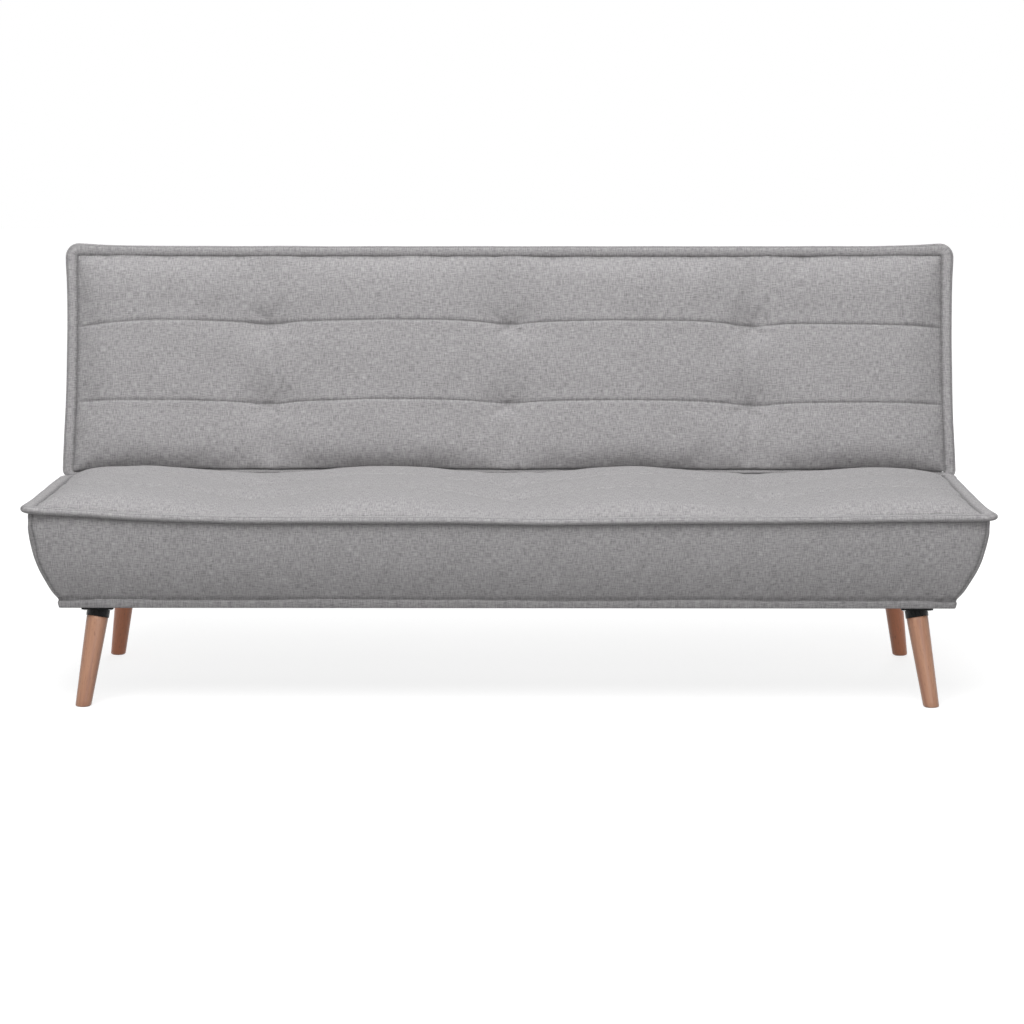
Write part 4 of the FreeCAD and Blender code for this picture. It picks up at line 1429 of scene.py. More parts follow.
@dataclass
class SewnEdge(SewnPart):
    """The flat rolled edge round the top panel, with a row of stitching along it.

    full_width is the width that its section is drawn at, corner the radius at the pad's corners,
    and flare how far the edge stands out at the two far corners.
    """

    flare: float = 3.0
    full_width: float = 24.0
    corner: float = 6.0
    seed: int = 11
    run: Array = field(default_factory=lambda: np.zeros((0, 5)), init=False)

    def build(self, cloth: bpy.types.Material) -> bpy.types.Object:
        """Build the edge.

        Args:
            cloth: The upholstery cloth.

        Returns:
            The piece.
        """
        half, near, far = self.sizes.groove
        path, outward = rectangle_path(half, near, far, self.corner)
        path = np.column_stack([path, np.full(len(path), self.sizes.edge_middle)])
        random = np.random.default_rng(self.seed)
        wave = smooth_noise(random, len(path), 9)
        fine = smooth_noise(random, len(path), 3)
        corner = self.at_far_corner(path)
        narrow = self.sizes.near_width / self.sizes.edge_width
        tuck = np.where(path[:, 1] < near + 8.0, np.clip(-outward[:, 1], 0.0, 1.0) ** 2, 0.0)
        width = 1.0 + (narrow - 1.0) * tuck
        flat = np.maximum(tuck, np.exp(-(((path[:, 1] - near) / 24.0) ** 2)))
        self.run = np.column_stack([path[:, :2], outward, width])
        spread = np.hypot((path[:, 0] - half) / 16.0, (path[:, 1] - near) / 13.0)
        lump = self.sewing.gather * np.exp(-(spread ** 2))

        def shape(index: int) -> Array:
            """The section at one place of the path.

            Args:
                index: The place's number.

            Returns:
                The section's points in millimetres.
            """
            rows = EDGE_SECTION[:, :2].copy()
            flare = self.flare * corner[index] / self.full_width
            rows[:, 0] *= width[index] * (1.0 + 0.03 * wave[index]) + flare
            rows[:, 0] *= self.sizes.edge_width / self.full_width
            uneven = 1.0 + 0.05 * wave[index] + 0.03 * fine[index]
            rows[:, 1] *= uneven * (1.0 - 0.62 * flat[index])
            rows[:, 1] = rows[:, 1] * (1.0 + 1.5 * lump[index]) + 3.0 * lump[index]
            return rows

        body = self.space.pad.value
        name = f"{body}_rolled_edge"
        # The section's third column paints shade into the groove, under the roll and along the
        # stitch line
        piece = sweep_section(self, name, path, outward, shape, EDGE_SECTION[:, 2])
        subdivide(piece)
        dress(piece, body, cloth)
        return piece

    def stitches(self, piece: bpy.types.Object, offset: float, pitch: float) -> Marks:
        """Where the stitches of a row sit on the edge.

        Args:
            piece: The edge.
            offset: The row's distance outwards from the groove.
            pitch: From one stitch to the next.

        Returns:
            Places, facing directions and directions along, in the sofa's frame.
        """
        scale = offset * self.sizes.edge_width / self.full_width
        line = self.run[:, :2] + self.run[:, 2:4] * (scale * self.run[:, 4:5])
        length = closed_lengths(line)
        line = np.vstack([line, line[:1]])
        steps = np.arange(0.0, length[-1] - pitch, pitch)
        above = self.sizes.edge_middle + 25.0
        start, after = (
            self.made_up(
                np.column_stack(
                    [
                        np.interp(places, length, line[:, 0]),
                        np.interp(places, length, line[:, 1]),
                        np.full(len(places), above),
                    ]
                )
            )
            for places in (steps, steps + 1.0)
        )
        _, down = self.space.down()
        tree = BVHTree.FromPolygons(
            [vertex.co for vertex in piece.data.vertices],
            [face.vertices for face in piece.data.polygons],
        )
        places, facing, along = [], [], []
        for here, there in zip(start, after):
            hit, normal, _, _ = tree.ray_cast(Vector(here), down)
            if hit is None:
                continue
            normal = -normal if normal.dot(down) > 0.0 else normal
            places.append(hit + normal * 0.05 * MM)
            facing.append(normal)
            along.append(Vector(there) - Vector(here))
        return np.array(places), np.array(facing), np.array(along)

    def at_far_corner(self, path: Array) -> Array:
        """How near each place of the path is to a far corner.

        Args:
            path: The path's places.

        Returns:
            A share for each place, from 0 to 1 at the corner.
        """
        half, _, far = self.sizes.groove
        away = np.hypot(half - np.abs(path[:, 0]), far - path[:, 1])
        return np.exp(-((away / 45.0) ** 2))


def smooth_noise(random: np.random.Generator, count: int, width: int) -> Array:
    """Soft closed noise between about -1 and 1.

    Args:
        random: The seeded generator.
        count: Number of values.
        width: How many neighbours are blended.

    Returns:
        The values.
    """
    raw = random.normal(size=count)
    kernel = np.hanning(2 * width + 1)
    closed = np.concatenate([raw[-width:], raw, raw[:width]])
    soft = np.convolve(closed, kernel / kernel.sum(), mode="valid")
    return soft / max(1e-9, np.abs(soft).max())


@dataclass
class BaseBand(SewnPart):
    """The rolled band of cloth round the foot of the frame, puckered along its seam.

    inset is how far its path lies inside the boxing, and corner its radius at the corners.
    """

    inset: float = 3.2
    corner: float = 2.5
    seed: int = 5

    def build(self, cloth: bpy.types.Material) -> bpy.types.Object:
        """Build the band.

        Args:
            cloth: The upholstery cloth.

        Returns:
            The piece.
        """
        sizes = self.sizes
        half = sizes.half - sizes.boxing_inset - sizes.end_taper - self.inset
        near, far = (side + way * self.inset for side, way in zip(sizes.foot_sides, (1.0, -1.0)))
        path, outward = rectangle_path(half, near, far, self.corner)
        path = np.column_stack([path, np.full(len(path), sizes.base)])
        random = np.random.default_rng(self.seed)
        broad = smooth_noise(random, len(path), 14)
        fine = smooth_noise(random, len(path), 4)
        beside = np.minimum(path[:, 1] - near, far - path[:, 1])
        away = np.hypot(half - np.abs(path[:, 0]), beside)
        corner = np.exp(-((away / 60.0) ** 2))

        def shape(index: int) -> Array:
            """The section at one place of the path.

            Args:
                index: The place's number.

            Returns:
                The section's points in millimetres.
            """
            rows = BAND_SECTION[:, :2].copy()
            rows[:, 1] *= 1.0 + 0.11 * broad[index] + 0.07 * fine[index] - 0.20 * corner[index]
            rows[:, 0] *= 1.0 + 0.20 * broad[index] + 0.16 * fine[index]
            return rows

        body = self.space.pad.value
        name = f"{body}_foot_band"
        # The section's third column paints shade over the band's face, most at the seam above it
        piece = sweep_section(self, name, path, outward, shape, BAND_SECTION[:, 2])
        subdivide(piece)
        dress(piece, body, cloth)
        return piece


@dataclass(frozen=True)
class LegPlace:
    """One leg: its foot and its top in the pad's frame, and how much painted light lifts its wood.
    """

    foot: Place
    top: Place
    painted_light: float


@dataclass(frozen=True)
class LegSizes:
    """Sizes that the legs of both pads share, and their places but for the rows'."""

    foot_x: float = 801.0
    top_x: float = 773.0
    row_inset: float = 32.0
    splay: float = 40.0
    floor: float = -357.0
    glide: float = 3.0
    foot_radius: float = 15.0
    socket_radius: float = 20.35
    mouth: float = 161.3

    def rows(self, sizes: PadSizes, ways: Sequence[float]) -> tuple[tuple[float, float], ...]:
        """Rows of legs across a pad.

        Args:
            sizes: The pad's sizes.
            ways: The way that each row splays: -1 to the hinge or 1 away from it.

        Returns:
            Each row's place and way.
        """
        near, far = sizes.foot_sides
        return tuple(
            (near + self.row_inset if way < 0 else far - self.row_inset, way) for way in ways
        )

    def places(self, sizes: PadSizes, ways: Sequence[float]) -> tuple[LegPlace, ...]:
        """The places of a pad's legs, where the row that splays to the hinge gets painted light.

        Args:
            sizes: The pad's sizes.
            ways: The way that each row splays.

        Returns:
            The legs' places.
        """
        foot_z = self.floor + self.glide
        return tuple(
            LegPlace(
                (side * self.foot_x, row + way * self.splay, foot_z),
                (side * self.top_x, row, sizes.base),
                # Painted light, full on the row that splays to the hinge, in shade under the sofa
                0.5 - 0.5 * way,
            )
            for side in (-1.0, 1.0)
            for row, way in self.rows(sizes, ways)
        )


LEGS = LegSizes()


@dataclass
class TurnedLegs:
    """Turned tapered legs, rounded at the foot, with grain that runs along each.

    Rings below cut lie level with the floor, floor_gap above it. The stub is the length in the
    socket that is left out, and grain_step keeps one leg's grain from another's.
    """

    space: PadSpace
    places: tuple[LegPlace, ...]
    floor_gap: float = 0.5
    cut: float = 2.5
    stub: float = 9.4
    sides: int = 40
    grain_step: Place = (37.0, 11.0, 90.0)

    def build(self, name: str, beech: bpy.types.Material) -> bpy.types.Object:
        """Build the pad's legs as one piece.

        Args:
            name: The piece's name.
            beech: The wood.

        Returns:
            The piece, with its Grain attribute and its Tint attribute of painted light.
        """
        points: list[Array] = []
        grain: list[Array] = []
        painted_lights: list[Array] = []
        faces: list[tuple[int, ...]] = []
        sides = self.sides
        turn = np.linspace(0.0, 2 * np.pi, sides, endpoint=False)
        for number, place in enumerate(self.places):
            foot, top = Vector(place.foot), Vector(place.top)
            axis = (top - foot).normalized()
            across = axis.cross(Vector((0.0, 1.0, 0.0))).normalized()
            beside = axis.cross(across)
            base = sides * len(points)
            rings = self.profile((top - foot).length)
            for along, radius in rings:
                round_x, round_y = np.cos(turn) * radius, np.sin(turn) * radius
                ring = np.outer(round_x, np.array(across)) + np.outer(round_y, np.array(beside))
                ring = np.array(foot + axis * along) + ring
                if along < self.cut:
                    level = foot.z - LEGS.glide + self.floor_gap + along
                    ring = ring + np.outer((level - ring[:, 2]) / axis.z, np.array(axis))
                points.append(ring)
                painted_lights.append(np.full(sides, place.painted_light))
                local = np.column_stack([round_x, round_y, np.full(sides, along)])
                grain.append((local + np.array(self.grain_step) * number) * MM)
            for start in range(base, base + (len(rings) - 1) * sides, sides):
                for side in range(sides):
                    a, b = start + side, start + (side + 1) % sides
                    faces.append((a, b, b + sides, a + sides))
            last = base + (len(rings) - 1) * sides
            faces.append(tuple(base + side for side in reversed(range(sides))))
            faces.append(tuple(last + side for side in range(sides)))
        piece = make_mesh(name, self.space.to_sofa(np.vstack(points)), faces)
        keep_attribute(piece.data, "Grain", np.vstack(grain))
        keep_attribute(piece.data, "Tint", np.concatenate(painted_lights))
        dress(piece, self.space.pad.value, beech)
        return piece

    def profile(self, length: float) -> list[tuple[float, float]]:
        """The leg's outline, from the floor up.

        Args:
            length: From the middle of its foot to its top.

        Returns:
            Distances along the leg with the radius at each.
        """
        foot, top = LEGS.foot_radius, LEGS.socket_radius
        rings = [(0.0, foot - 2.4), (0.35, foot - 1.4), (1.1, foot - 0.55), (2.4, foot)]
        for along in np.linspace(8.0, LEGS.mouth, 13):
            rings.append((along, foot + (top - foot) * along / LEGS.mouth))
        rings.append((length - self.stub, top))
        return rings


@dataclass(frozen=True)
class ShortCups:
    """The leg sockets with their mouths drawn up to the depth that the picture shows.

    The mouth is what lies within reach of a leg's axis and no further up than its rim.
    """

    space: PadSpace
    places: tuple[LegPlace, ...]
    raised: float = 10.0
    reach: float = 32.0
    rim: float = 1.5

    def build(
        self, name: str, node: bpy.types.Object, black: bpy.types.Material
    ) -> bpy.types.Object:
        """Build the cups from a copy of the solid.

        Args:
            name: The piece's name.
            node: The solid that the copy is made from.
            black: The sockets' finish.

        Returns:
            The piece.
        """
        work = bmesh.new()
        work.from_mesh(node.data)
        bmesh.ops.remove_doubles(work, verts=work.verts, dist=0.00001)
        legs = []
        for place in self.places:
            ends = self.space.to_sofa(np.array([place.foot, place.top]))
            foot, top = Vector(ends[0]), Vector(ends[1])
            legs.append((foot, (top - foot).normalized()))
        for vertex in work.verts:
            for foot, axis in legs:
                along = (vertex.co - foot).dot(axis)
                beside = (vertex.co - foot - axis * along).length
                if beside < self.reach * MM and along < (LEGS.mouth + self.rim) * MM:
                    vertex.co += axis * self.raised * MM
                    break
        mesh = bpy.data.meshes.new(name)
        work.to_mesh(mesh)
        work.free()
        mesh.shade_smooth()
        mesh.set_sharp_from_angle(angle=math.radians(35.0))
        piece = new_object(name, mesh)
        dress(piece, self.space.pad.value, black)
        return piece


@dataclass
class StretchedSheet:
    """The non-woven sheet under a frame, quilted by its staples and cut out round the hinges.

    Its edge lies inset from the boxing's foot, its staples margin further in and a pitch apart.
    """

    space: PadSpace
    sizes: PadSizes
    hinge_middle: float
    half: float = 843.5
    top: float = -169.75
    thick: float = 0.9
    sag: float = 2.2
    inset: float = 3.5
    margin: float = 11.0
    pitch: float = 38.0
    cut_half: float = 23.0
    cut_far: float = 182.0

    def lines(self) -> tuple[Array, Array]:
        """Grid lines with the cut-outs' sides among them.

        Returns:
            The lines' places along the pad and across it.
        """
        near, far = self.reach()
        xs = set(np.linspace(-self.half, self.half, 169).round(3))
        for side in (-1.0, 1.0):
            for edge in (self.hinge_middle - self.cut_half, self.hinge_middle + self.cut_half):
                xs = {x for x in xs if abs(x - side * edge) > 4.0} | {side * edge}
        ss = set(np.linspace(near, far, int((far - near) / 10.0)).round(3))
        ss = {s for s in ss if abs(s - self.cut_far) > 4.0} | {self.cut_far}
        return np.array(sorted(xs)), np.array(sorted(ss))

    def reach(self) -> tuple[float, float]:
        """The near and the far edge of the sheet."""
        near, far = self.sizes.foot_sides
        return near + self.inset, far - self.inset

    def cut_area(self) -> float:
        """The area of the two cut-outs, in square millimetres."""
        return 4 * self.cut_half * (self.cut_far - self.reach()[0])

    def is_cut(self, x: float, s: float) -> bool:
        """Whether a place lies in a cut-out."""
        return abs(abs(x) - self.hinge_middle) < self.cut_half and s < self.cut_far

    def build(self, name: str, sheet: bpy.types.Material) -> bpy.types.Object:
        """Build the sheet.

        Args:
            name: The piece's name.
            sheet: The sheet's material.

        Returns:
            The piece.
        """
        xs, ss = self.lines()
        near, far = self.reach()
        grid_x, grid_s = np.meshgrid(xs, ss, indexing="ij")
        inside = np.minimum(self.half - np.abs(grid_x), np.minimum(grid_s - near, far - grid_s))
        drop = self.sag * (1.0 - np.exp(-inside / 60.0))
        along = np.where(self.half - np.abs(grid_x) < inside + 0.01, grid_s, grid_x)
        gathers = 0.5 - 0.5 * np.cos(2 * np.pi * along / self.pitch)
        drop += 1.1 * gathers * np.exp(-(((inside - 16.0) / 14.0) ** 2))
        ripple = np.sin(grid_x / 61.0 + 1.0) * np.sin(grid_s / 47.0)
        drop += 0.35 * ripple * (1.0 - np.exp(-inside / 40.0))
        bottom = self.top - self.thick - np.clip(drop, 0.0, None)
        count = grid_x.size
        points = np.vstack(
            [
                np.column_stack([grid_x.ravel(), grid_s.ravel(), level.ravel()])
                for level in (bottom + self.thick, bottom)
            ]
        )
        deep = len(ss)
        faces = []
        ordered: list[tuple[int, int]] = []
        for i in range(len(xs) - 1):
            for j in range(deep - 1):
                if self.is_cut((xs[i] + xs[i + 1]) / 2, (ss[j] + ss[j + 1]) / 2):
                    continue
                ring = (i * deep + j, (i + 1) * deep + j, (i + 1) * deep + j + 1, i * deep + j + 1)
                faces.append(ring)
                faces.append(tuple(c + count for c in reversed(ring)))
                ordered += zip(ring, ring[1:] + ring[:1])
        edges = set(ordered)
        for a, b in ordered:
            if (b, a) not in edges:
                faces.append((b, a, a + count, b + count))
        used = sorted({corner for face in faces for corner in face})
        place = {old: new for new, old in enumerate(used)}
        faces = [tuple(place[corner] for corner in face) for face in faces]
        piece = make_mesh(name, self.space.to_sofa(points[used]), faces)
        dress(piece, self.space.pad.value, sheet)
        return piece

    def staples(self) -> Marks:
        """Where the staples sit, the way each faces and the way each lies.

        Returns:
            Places, facing directions and directions along, in the sofa's frame.
        """
        near, far = self.reach()
        half = self.half - self.margin
        level = self.top - self.thick - 0.35
        spots: list[Place] = []
        along: list[Place] = []
        for x in np.arange(-half + 20.0, half - 10.0, self.pitch):
            for s in (near + self.margin, far - self.margin):
                if not any(self.is_cut(x + reach, s) for reach in (0.0, -8.0, 8.0)):
                    spots.append((x, s, level))
                    along.append((1.0, 0.0, 0.0))
        for s in np.arange(near + 30.0, far - 20.0, self.pitch):
            for x in (-half, half):
                spots.append((x, s, level))
                along.append((0.0, 1.0, 0.0))
        return face_down(self.space, np.array(spots), np.array(along))


def face_down(space: PadSpace, spots: Array, along: Array) -> Marks:
    """Marks that face away from a pad's sitting side, in the sofa's frame.

    Args:
        space: The pad's frame.
        spots: Rows of x, s and z.
        along: The way each mark lies.

    Returns:
        Places, facing directions and directions along.
    """
    origin = space.to_sofa(np.zeros((1, 3)))
    facing = np.array([[0.0, 0.0, -1.0]] * len(spots))
    turned = [(space.to_sofa(rows) - origin) / MM for rows in (facing, along)]
    return space.to_sofa(spots), turned[0], turned[1]


@dataclass(frozen=True)
class Mark:
    """A small part that repeats: its outline of faces, low at the surface and domed above it."""

    name: str
    length: float
    width: float
    height: float
    sides: int = 8
    dished: bool = False

    def build(self) -> bpy.types.Object:
        """One copy, lying along X and facing Z.

        Returns:
            The object.
        """
        points = []
        length, width, height = (size * MM for size in (self.length, self.width, self.height))
        for share, level in ((1.0, 0.0), (0.98, 0.55), (0.72, 0.92)):
            for k in range(self.sides):
                turn = 2 * math.pi * (k + 0.5) / self.sides
                x, y = math.cos(turn) * share * length / 2, math.sin(turn) * share * width / 2
                points.append((x, y, level * height))
        points.append((0.0, 0.0, (0.45 if self.dished else 1.0) * height))
        points.append((0.0, 0.0, 0.0))
        peak, foot = len(points) - 2, len(points) - 1
        faces = []
        for k in range(self.sides):
            after = (k + 1) % self.sides
            for level in range(2):
                a, b = level * self.sides + k, level * self.sides + after
                faces.append((a, b, b + self.sides, a + self.sides))
            faces.append((2 * self.sides + k, 2 * self.sides + after, peak))
            faces.append((after, k, foot))
        return make_mesh(self.name, np.array(points), faces)


class Repeats:
    """Copies of a small part set on marks by a node tree, made plain afterwards."""

    def __init__(self, mark: Mark, material: bpy.types.Material) -> None:
        """Keep the part to repeat and its material."""
        self.mark = mark
        self.material = material

    def tree(self) -> bpy.types.NodeTree:
        """The node tree: turn each copy to its mark, set it there and make it real.

        Returns:
            The tree.
        """
        tree = bpy.data.node_groups.new(f"set_{self.mark.name}", "GeometryNodeTree")
        takes = {
            "Marks": "NodeSocketGeometry",
            "Part": "NodeSocketObject",
            "Finish": "NodeSocketMaterial",
            "Size change": "NodeSocketFloat",
            "Seed": "NodeSocketInt",
        }
        for label, kind in takes.items():
            tree.interface.new_socket(name=label, in_out="INPUT", socket_type=kind)
        tree.interface.new_socket(name="Parts", in_out="OUTPUT", socket_type="NodeSocketGeometry")
        bench = NodeBench(tree)
        taken, given = bench.add("NodeGroupInput"), bench.add("NodeGroupOutput")
        named, align = "GeometryNodeInputNamedAttribute", "FunctionNodeAlignRotationToVector"
        facing = bench.add(named, {"Name": "Facing"}, data_type="FLOAT_VECTOR").outputs[0]
        along = bench.add(named, {"Name": "Along"}, data_type="FLOAT_VECTOR").outputs[0]
        upright = bench.add(align, {"Vector": facing}, axis="Z").outputs[0]
        takes = {"Rotation": upright, "Vector": along}
        turned = bench.add(align, takes, axis="X", pivot_axis="Z").outputs[0]
        part = bench.add("GeometryNodeObjectInfo", {"Object": taken.outputs["Part"]})
        seed = {"Seed": taken.outputs["Seed"]}
        random = bench.add("FunctionNodeRandomValue", seed, data_type="FLOAT")
        floats = [socket for socket in random.inputs if socket.type == "VALUE"]
        for way, socket in zip(("SUBTRACT", "ADD"), floats):
            bench.join(bench.calc(way, 1.0, taken.outputs["Size change"]), socket)
        takes = {
            "Points": taken.outputs["Marks"],
            "Instance": part.outputs["Geometry"],
            "Rotation": turned,
            "Scale": next(socket for socket in random.outputs if socket.type == "VALUE"),
        }
        copies = bench.add("GeometryNodeInstanceOnPoints", takes)
        real = bench.add("GeometryNodeRealizeInstances", {"Geometry": copies.outputs[0]})
        takes = {"Geometry": real.outputs[0], "Material": taken.outputs["Finish"]}
        finished = bench.add("GeometryNodeSetMaterial", takes)
        bench.join(finished.outputs[0], given.inputs["Parts"])
        return tree

    def place(
        self, name: str, marks: Marks, body: str, finish: Finish, change: float = 0.0, seed: int = 3
    ) -> bpy.types.Object:
        """Set the copies of one body.

        Args:
            name: The piece's name.
            marks: Places, facing directions and directions along.
            body: The body that carries them.
            finish: Not used.
            change: How far a copy's size may differ, as a share.
            seed: The seed of that difference.

        Returns:
            The piece.
        """
        spots, facing, along = marks
        mesh = bpy.data.meshes.new(name)
        mesh.from_pydata([tuple(spot) for spot in spots], [], [])
        keep_attribute(mesh, "Facing", facing)
        keep_attribute(mesh, "Along", along)
        piece = new_object(name, mesh)
        pattern = self.mark.build()
        tree = self.tree()
        modifier = piece.modifiers.new("Set", "NODES")
        modifier.node_group = tree
        values = {"Part": pattern, "Finish": self.material, "Size change": change, "Seed": seed}
        for item in tree.interface.items_tree:
            if item.item_type == "SOCKET" and item.in_out == "INPUT" and item.name in values:
                modifier[item.identifier] = values[item.name]
        settle(piece)
        bpy.data.objects.remove(pattern)
        for label in ("Facing", "Along"):
            if label in piece.data.attributes:
                piece.data.attributes.remove(piece.data.attributes[label])
        piece.data.shade_smooth()
        dress(piece, body, self.material)
        LOG.info("%s: %d copies", name, len(spots))
        return piece


@dataclass
class Fixings:
    """Heads of the bolts in one pad's hinge plates and of the screws in its leg plates."""

    space: PadSpace
    hinge_middle: float
    leg_rows: tuple[float, ...]
    plate_face: float = -173.5
    leg_plate_face: float = -174.0
    bolt_rows: tuple[float, float] = (52.0, 166.0)
    bolt_off: float = 13.0
    screw_off: float = 24.0
    seed: int = 8

    def bolts(self) -> Marks:
        """Four bolts through each mounting plate.

        Returns:
            The marks of their heads.
        """
        off = self.bolt_off
        return self.turned(
            [
                (side * self.hinge_middle + dx, s, self.plate_face)
                for side in (-1.0, 1.0)
                for s in self.bolt_rows
                for dx in (-off, off)
            ]
        )

    def screws(self) -> Marks:
        """Four screws in the corners of each leg plate.

        Returns:
            The marks of their heads.
        """
        off = self.screw_off
        return self.turned(
            [
                (side * LEGS.top_x + dx, row + ds, self.leg_plate_face)
                for side in (-1.0, 1.0)
                for row in self.leg_rows
                for dx in (-off, off)
                for ds in (-off, off)
            ]
        )

    def turned(self, spots: list[Place]) -> Marks:
        """Heads under the pad, each turned its own way.

        Args:
            spots: Their places in the pad's frame.

        Returns:
            The marks to place them by.
        """
        turn = np.random.default_rng(self.seed).uniform(0.0, np.pi, len(spots))
        along = np.column_stack([np.cos(turn), np.sin(turn), np.zeros(len(spots))])
        return face_down(self.space, np.array(spots), along)


# Studio


@dataclass(frozen=True)
class Studio:
    """A white floor, soft lamps and the camera that took the picture.

    The camera's place is in metres, its angles in degrees and its focal length in pixels. The
    floor's own white rises from near to away, by distance from the middle, as the lamps fade.
    """

    camera_place: Place = (0.04421, -6.646, 1.2432)
    tilt: float = 8.0724
    yaw: float = 0.3233
    focal: float = 3313.8
    picture: int = 1024
    sensor: float = 36.0
    floor_radius: float = 16.0
    floor_sides: int = 96
    near: tuple[float, float] = (3.5, 0.80)
    away: tuple[float, float] = (7.0, 0.90)
    world_light: float = 0.30

    def build(self) -> None:
        """Make the floor, the lamps, the world and the camera."""
        self.floor()
        self.world()
        self.lamp("key", (-0.9, -3.4, 4.6), (0.0, 0.0, 0.4), 3.2, 190.0)
        self.lamp("fill", (1.8, -5.2, 1.5), (0.0, 0.0, 0.4), 3.0, 50.0)
        self.lamp("top", (0.0, -0.6, 4.8), (0.0, -0.2, 0.3), 3.2, 90.0)
        self.lamp("rear", (0.6, 4.6, 2.6), (0.0, 0.0, 0.4), 3.0, 70.0)
        self.camera()
        bpy.context.scene.view_settings.view_transform = "Standard"

    def seen(self, bench: NodeBench) -> bpy.types.NodeSocket:
        """What the camera sees, straight or in metal or glass.

        Args:
            bench: The tree's bench.

        Returns:
            A socket that is 1 for that and 0 for light on its way to another surface.
        """
        path = bench.add("ShaderNodeLightPath")
        seen = bench.calc("MAXIMUM", path.outputs["Is Camera Ray"], path.outputs["Is Glossy Ray"])
        return bench.calc("MAXIMUM", seen, path.outputs["Is Transmission Ray"])

    def floor(self) -> None:
        """A wide round floor, white to the camera and unseen from below."""
        count = self.floor_sides
        turn = 2 * np.pi * np.arange(count) / count
        ring = self.floor_radius * np.column_stack([np.cos(turn), np.sin(turn), np.zeros(count)])
        floor = make_mesh("studio_floor", ring, [tuple(range(count))], outward=False)
        material, bench, shader = start_material("white_floor")
        place = bench.add("ShaderNodeTexCoord").outputs["Object"]
        reach = bench.add("ShaderNodeVectorMath", operation="LENGTH")
        bench.join(place, reach.inputs[0])
        (near, dim), (away, bright) = self.near, self.away
        white = bench.span(reach.outputs["Value"], near, away, dim, bright)
        bench.fill(
            shader,
            {
                "Base Color": (0.34, 0.34, 0.34, 1.0),
                "Roughness": bench.span(bench.noise(place, 60.0), 0.3, 0.7, 0.85, 0.95),
                "Specular IOR Level": 0.1,
                "Emission Color": (1.0, 1.0, 1.0, 1.0),
                "Emission Strength": bench.calc("MULTIPLY", self.seen(bench), white),
            },
        )
        clear = bench.add("ShaderNodeBsdfTransparent")
        side = bench.add("ShaderNodeNewGeometry")
        mixed = bench.add("ShaderNodeMixShader")
        bench.join(side.outputs["Backfacing"], mixed.inputs[0])
        bench.join(shader.outputs[0], mixed.inputs[1])
        bench.join(clear.outputs[0], mixed.inputs[2])
        output = next(node for node in bench.tree.nodes if node.type == "OUTPUT_MATERIAL")
        bench.join(mixed.outputs[0], output.inputs[0])
        floor.data.materials.append(material)

    def world(self) -> None:
        """An even pale world, white where the camera sees it."""
        world = bpy.data.worlds.new("studio")
        world.use_nodes = True
        world.node_tree.nodes.clear()
        bench = NodeBench(world.node_tree)
        strength = bench.span(self.seen(bench), 0.0, 1.0, self.world_light, 1.0)
        takes = {"Color": (1.0, 1.0, 1.0, 1.0), "Strength": strength}
        background = bench.add("ShaderNodeBackground", takes)
        output = bench.add("ShaderNodeOutputWorld")
        bench.join(background.outputs[0], output.inputs[0])
        bpy.context.scene.world = world

    def lamp(self, name: str, place: Place, goal: Place, size: float, power: float) -> None:
        """A square soft lamp.

        Args:
            name: The lamp's name.
            place: Where it hangs.
            goal: What it points at.
            size: Its side.
            power: Its power in watts.
        """
        light = bpy.data.lights.new(name, "AREA")
        light.size = size
        light.energy = power
        lamp = new_object(name, light)
        lamp.location = place
        lamp.rotation_euler = (Vector(goal) - Vector(place)).to_track_quat("-Z", "Y").to_euler()

    def camera(self) -> None:
        """The camera, from the fit to the picture's corners, feet and tips."""
        data = bpy.data.cameras.new("camera")
        data.sensor_width = self.sensor
        data.sensor_fit = "HORIZONTAL"
        data.lens = self.focal * self.sensor / self.picture
        data.clip_end = 60.0
        camera = new_object("camera", data)
        yaw, tilt = math.radians(self.yaw), math.radians(self.tilt)
        right = Vector((math.cos(yaw), math.sin(yaw), 0.0))
        level = Vector((-math.sin(yaw), math.cos(yaw), 0.0))
        upright = Vector((0.0, 0.0, 1.0))
        forward = level * math.cos(tilt) - upright * math.sin(tilt)
        up = level * math.sin(tilt) + upright * math.cos(tilt)
        turn = Matrix((right, up, -forward)).transposed()
        camera.matrix_world = Matrix.Translation(self.camera_place) @ turn.to_4x4()
        bpy.context.scene.camera = camera


# Carried-over solids


class Solids:
    """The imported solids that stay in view, with their finishes."""

    def __init__(self, nodes: dict[str, bpy.types.Object], finishes: Finishes) -> None:
        """Keep the nodes and the finishes to give them."""
        self.nodes = nodes
        self.finishes = finishes

    def finish_for(self, name: str) -> bpy.types.Material:
        """The finish of one solid, from the words of its name.

        Args:
            name: The solid's name.

        Returns:
            The material.
        """
        all_of = self.finishes
        words = {
            "click_spring": all_of.spring, "arm": all_of.zinc, "ratchet": all_of.zinc,
            "pivot": all_of.zinc, "sockets": all_of.black, "glides": all_of.glide,
            "legs": all_of.beech, "foam": all_of.foam, "webbing": all_of.webbing,
            "dust": all_of.sheet, "rail": all_of.pine, "bearer": all_of.pine, "blocks": all_of.pine,
        }
        return next((words[word] for word in words if word in name), all_of.cloth)

    def dress(self) -> None:
        """Give every solid its finish."""
        for name, node in self.nodes.items():
            material = self.finish_for(name)
            if not node.material_slots:
                node.data.materials.append(material)
            for slot in node.material_slots:
                slot.material = material


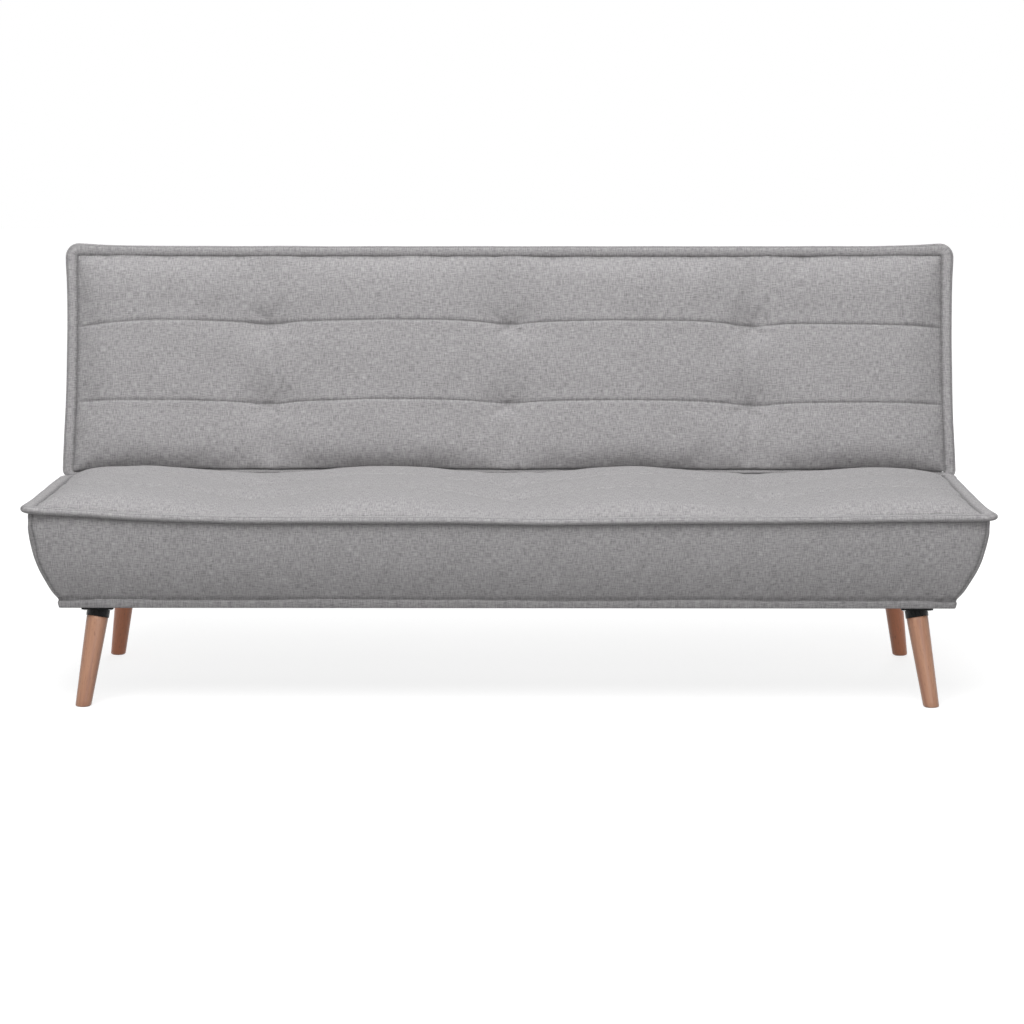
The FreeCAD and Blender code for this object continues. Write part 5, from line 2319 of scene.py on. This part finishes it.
@dataclass(frozen=True)
class DressedPad:
    """One pad with all that covers it: what differs between the two, and how each is dressed.

    The word begins the names of its pieces, hinge_middle is the middle of its hinge arms from
    the middle of the sofa, and leg_ways is the way that each of its rows of legs splays.
    """

    pad: Pad
    word: str
    sewing: Sewing
    sizes: PadSizes
    crown: float
    near_gain: float
    hinge_middle: float
    leg_ways: tuple[float, ...]

    def dress(self, pivot: Place, nodes: dict[str, bpy.types.Object], finishes: Finishes) -> None:
        """Build all that covers the pad.

        Args:
            pivot: The hinge's place in the sofa's frame.
            nodes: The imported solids.
            finishes: The finishes.
        """
        space = PadSpace(self.pad, pivot, REST_ANGLE)
        self.dress_cover(space, finishes)
        self.dress_legs(space, nodes[f"{self.word}_sockets"], finishes)
        self.dress_under(space, finishes)
        LOG.info("%s dressed", self.word)

    def dress_cover(self, space: PadSpace, finishes: Finishes) -> None:
        """Build the padded form, the rolled edge with its stitches and the foot band.

        Args:
            space: The pad's frame.
            finishes: The finishes.
        """
        word, sizes, sewing = self.word, self.sizes, self.sewing
        padded = Upholstery(space, sizes, sewing, self.crown, self.near_gain)
        upholstery = padded.build(finishes.cloth)
        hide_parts(f"{word}_cushion")
        hem = SewnEdge(space, sizes, sewing)
        edge = hem.build(finishes.cloth)
        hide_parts(f"{word}_sewn_edge")
        stitches = hem.stitches(edge, offset=18.9, pitch=4.6)
        Repeats(Mark("stitch", 3.3, 0.9, 0.45, sides=6), finishes.thread).place(
            f"{word}_edge_stitches", stitches, self.pad.value, Finish.CLOTH, change=0.08
        )
        band = BaseBand(space, sizes, sewing).build(finishes.cloth)
        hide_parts(f"{word}_base_band")

    def dress_legs(
        self, space: PadSpace, sockets: bpy.types.Object, finishes: Finishes
    ) -> None:
        """Build the legs and the cups that they stand in.

        Args:
            space: The pad's frame.
            sockets: The solid of the pad's leg sockets.
            finishes: The finishes.
        """
        word = self.word
        places = LEGS.places(self.sizes, self.leg_ways)
        legs = TurnedLegs(space, places).build(f"{word}_turned_legs", finishes.beech)
        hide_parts(f"{word}_legs")
        cups = ShortCups(space, places).build(f"{word}_leg_cups", sockets, finishes.black)
        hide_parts(f"{word}_sockets")

    def dress_under(self, space: PadSpace, finishes: Finishes) -> None:
        """Build the sheet under the frame, its staples and the heads of bolts and screws.

        Args:
            space: The pad's frame.
            finishes: The finishes.
        """
        word = self.word
        under = StretchedSheet(space, self.sizes, self.hinge_middle)
        sheet = under.build(f"{word}_under_sheet", finishes.sheet)
        near, far = under.reach()
        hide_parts(f"{word}_dust_cover")
        (2 * under.half * (far - near) - under.cut_area()) * MM * MM
        leg_rows = tuple(row for row, _ in LEGS.rows(self.sizes, self.leg_ways))
        fixings = Fixings(space, self.hinge_middle, leg_rows)
        heads = (
            (Mark("staple", 11.0, 1.5, 0.9), "staples", under.staples()),
            (Mark("bolt_head", 13.0, 13.0, 4.5, sides=6), "plate_bolts", fixings.bolts()),
            (
                Mark("screw_head", 8.0, 8.0, 2.2, sides=16, dished=True),
                "leg_screws",
                fixings.screws(),
            ),
        )
        for mark, name, marks in heads:
            Repeats(mark, finishes.zinc).place(
                f"{word}_{name}", marks, self.pad.value, Finish.ZINC
            )


# How far the back is up from flat in the picture, in degrees
REST_ANGLE = 75.0

SEAT_PAD = DressedPad(
    Pad.SEAT, "seat", SEAT_SEWING, PadSizes(depth=570.0, edge_width=24.0),
    crown=22.5, near_gain=1.0, hinge_middle=702.5, leg_ways=(-1.0, 1.0),
)
BACK_PAD = DressedPad(
    Pad.BACK, "back", BACK_SEWING, PadSizes(depth=470.0, edge_width=20.5),
    crown=28.0, near_gain=1.35, hinge_middle=714.0, leg_ways=(1.0,),
)


def main() -> None:
    """Dress the sofa bed and set up its studio."""
    logging.basicConfig(level=logging.INFO, format="%(message)s")
    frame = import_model()
    pivot = tuple(frame["joints"][0]["pos_m"])
    finishes = Finishes()
    Solids(frame["nodes"], finishes).dress()
    Studio().build()
    for pad in (SEAT_PAD, BACK_PAD):
        pad.dress(pivot, frame["nodes"], finishes)


if __name__ == "__main__":
    main()
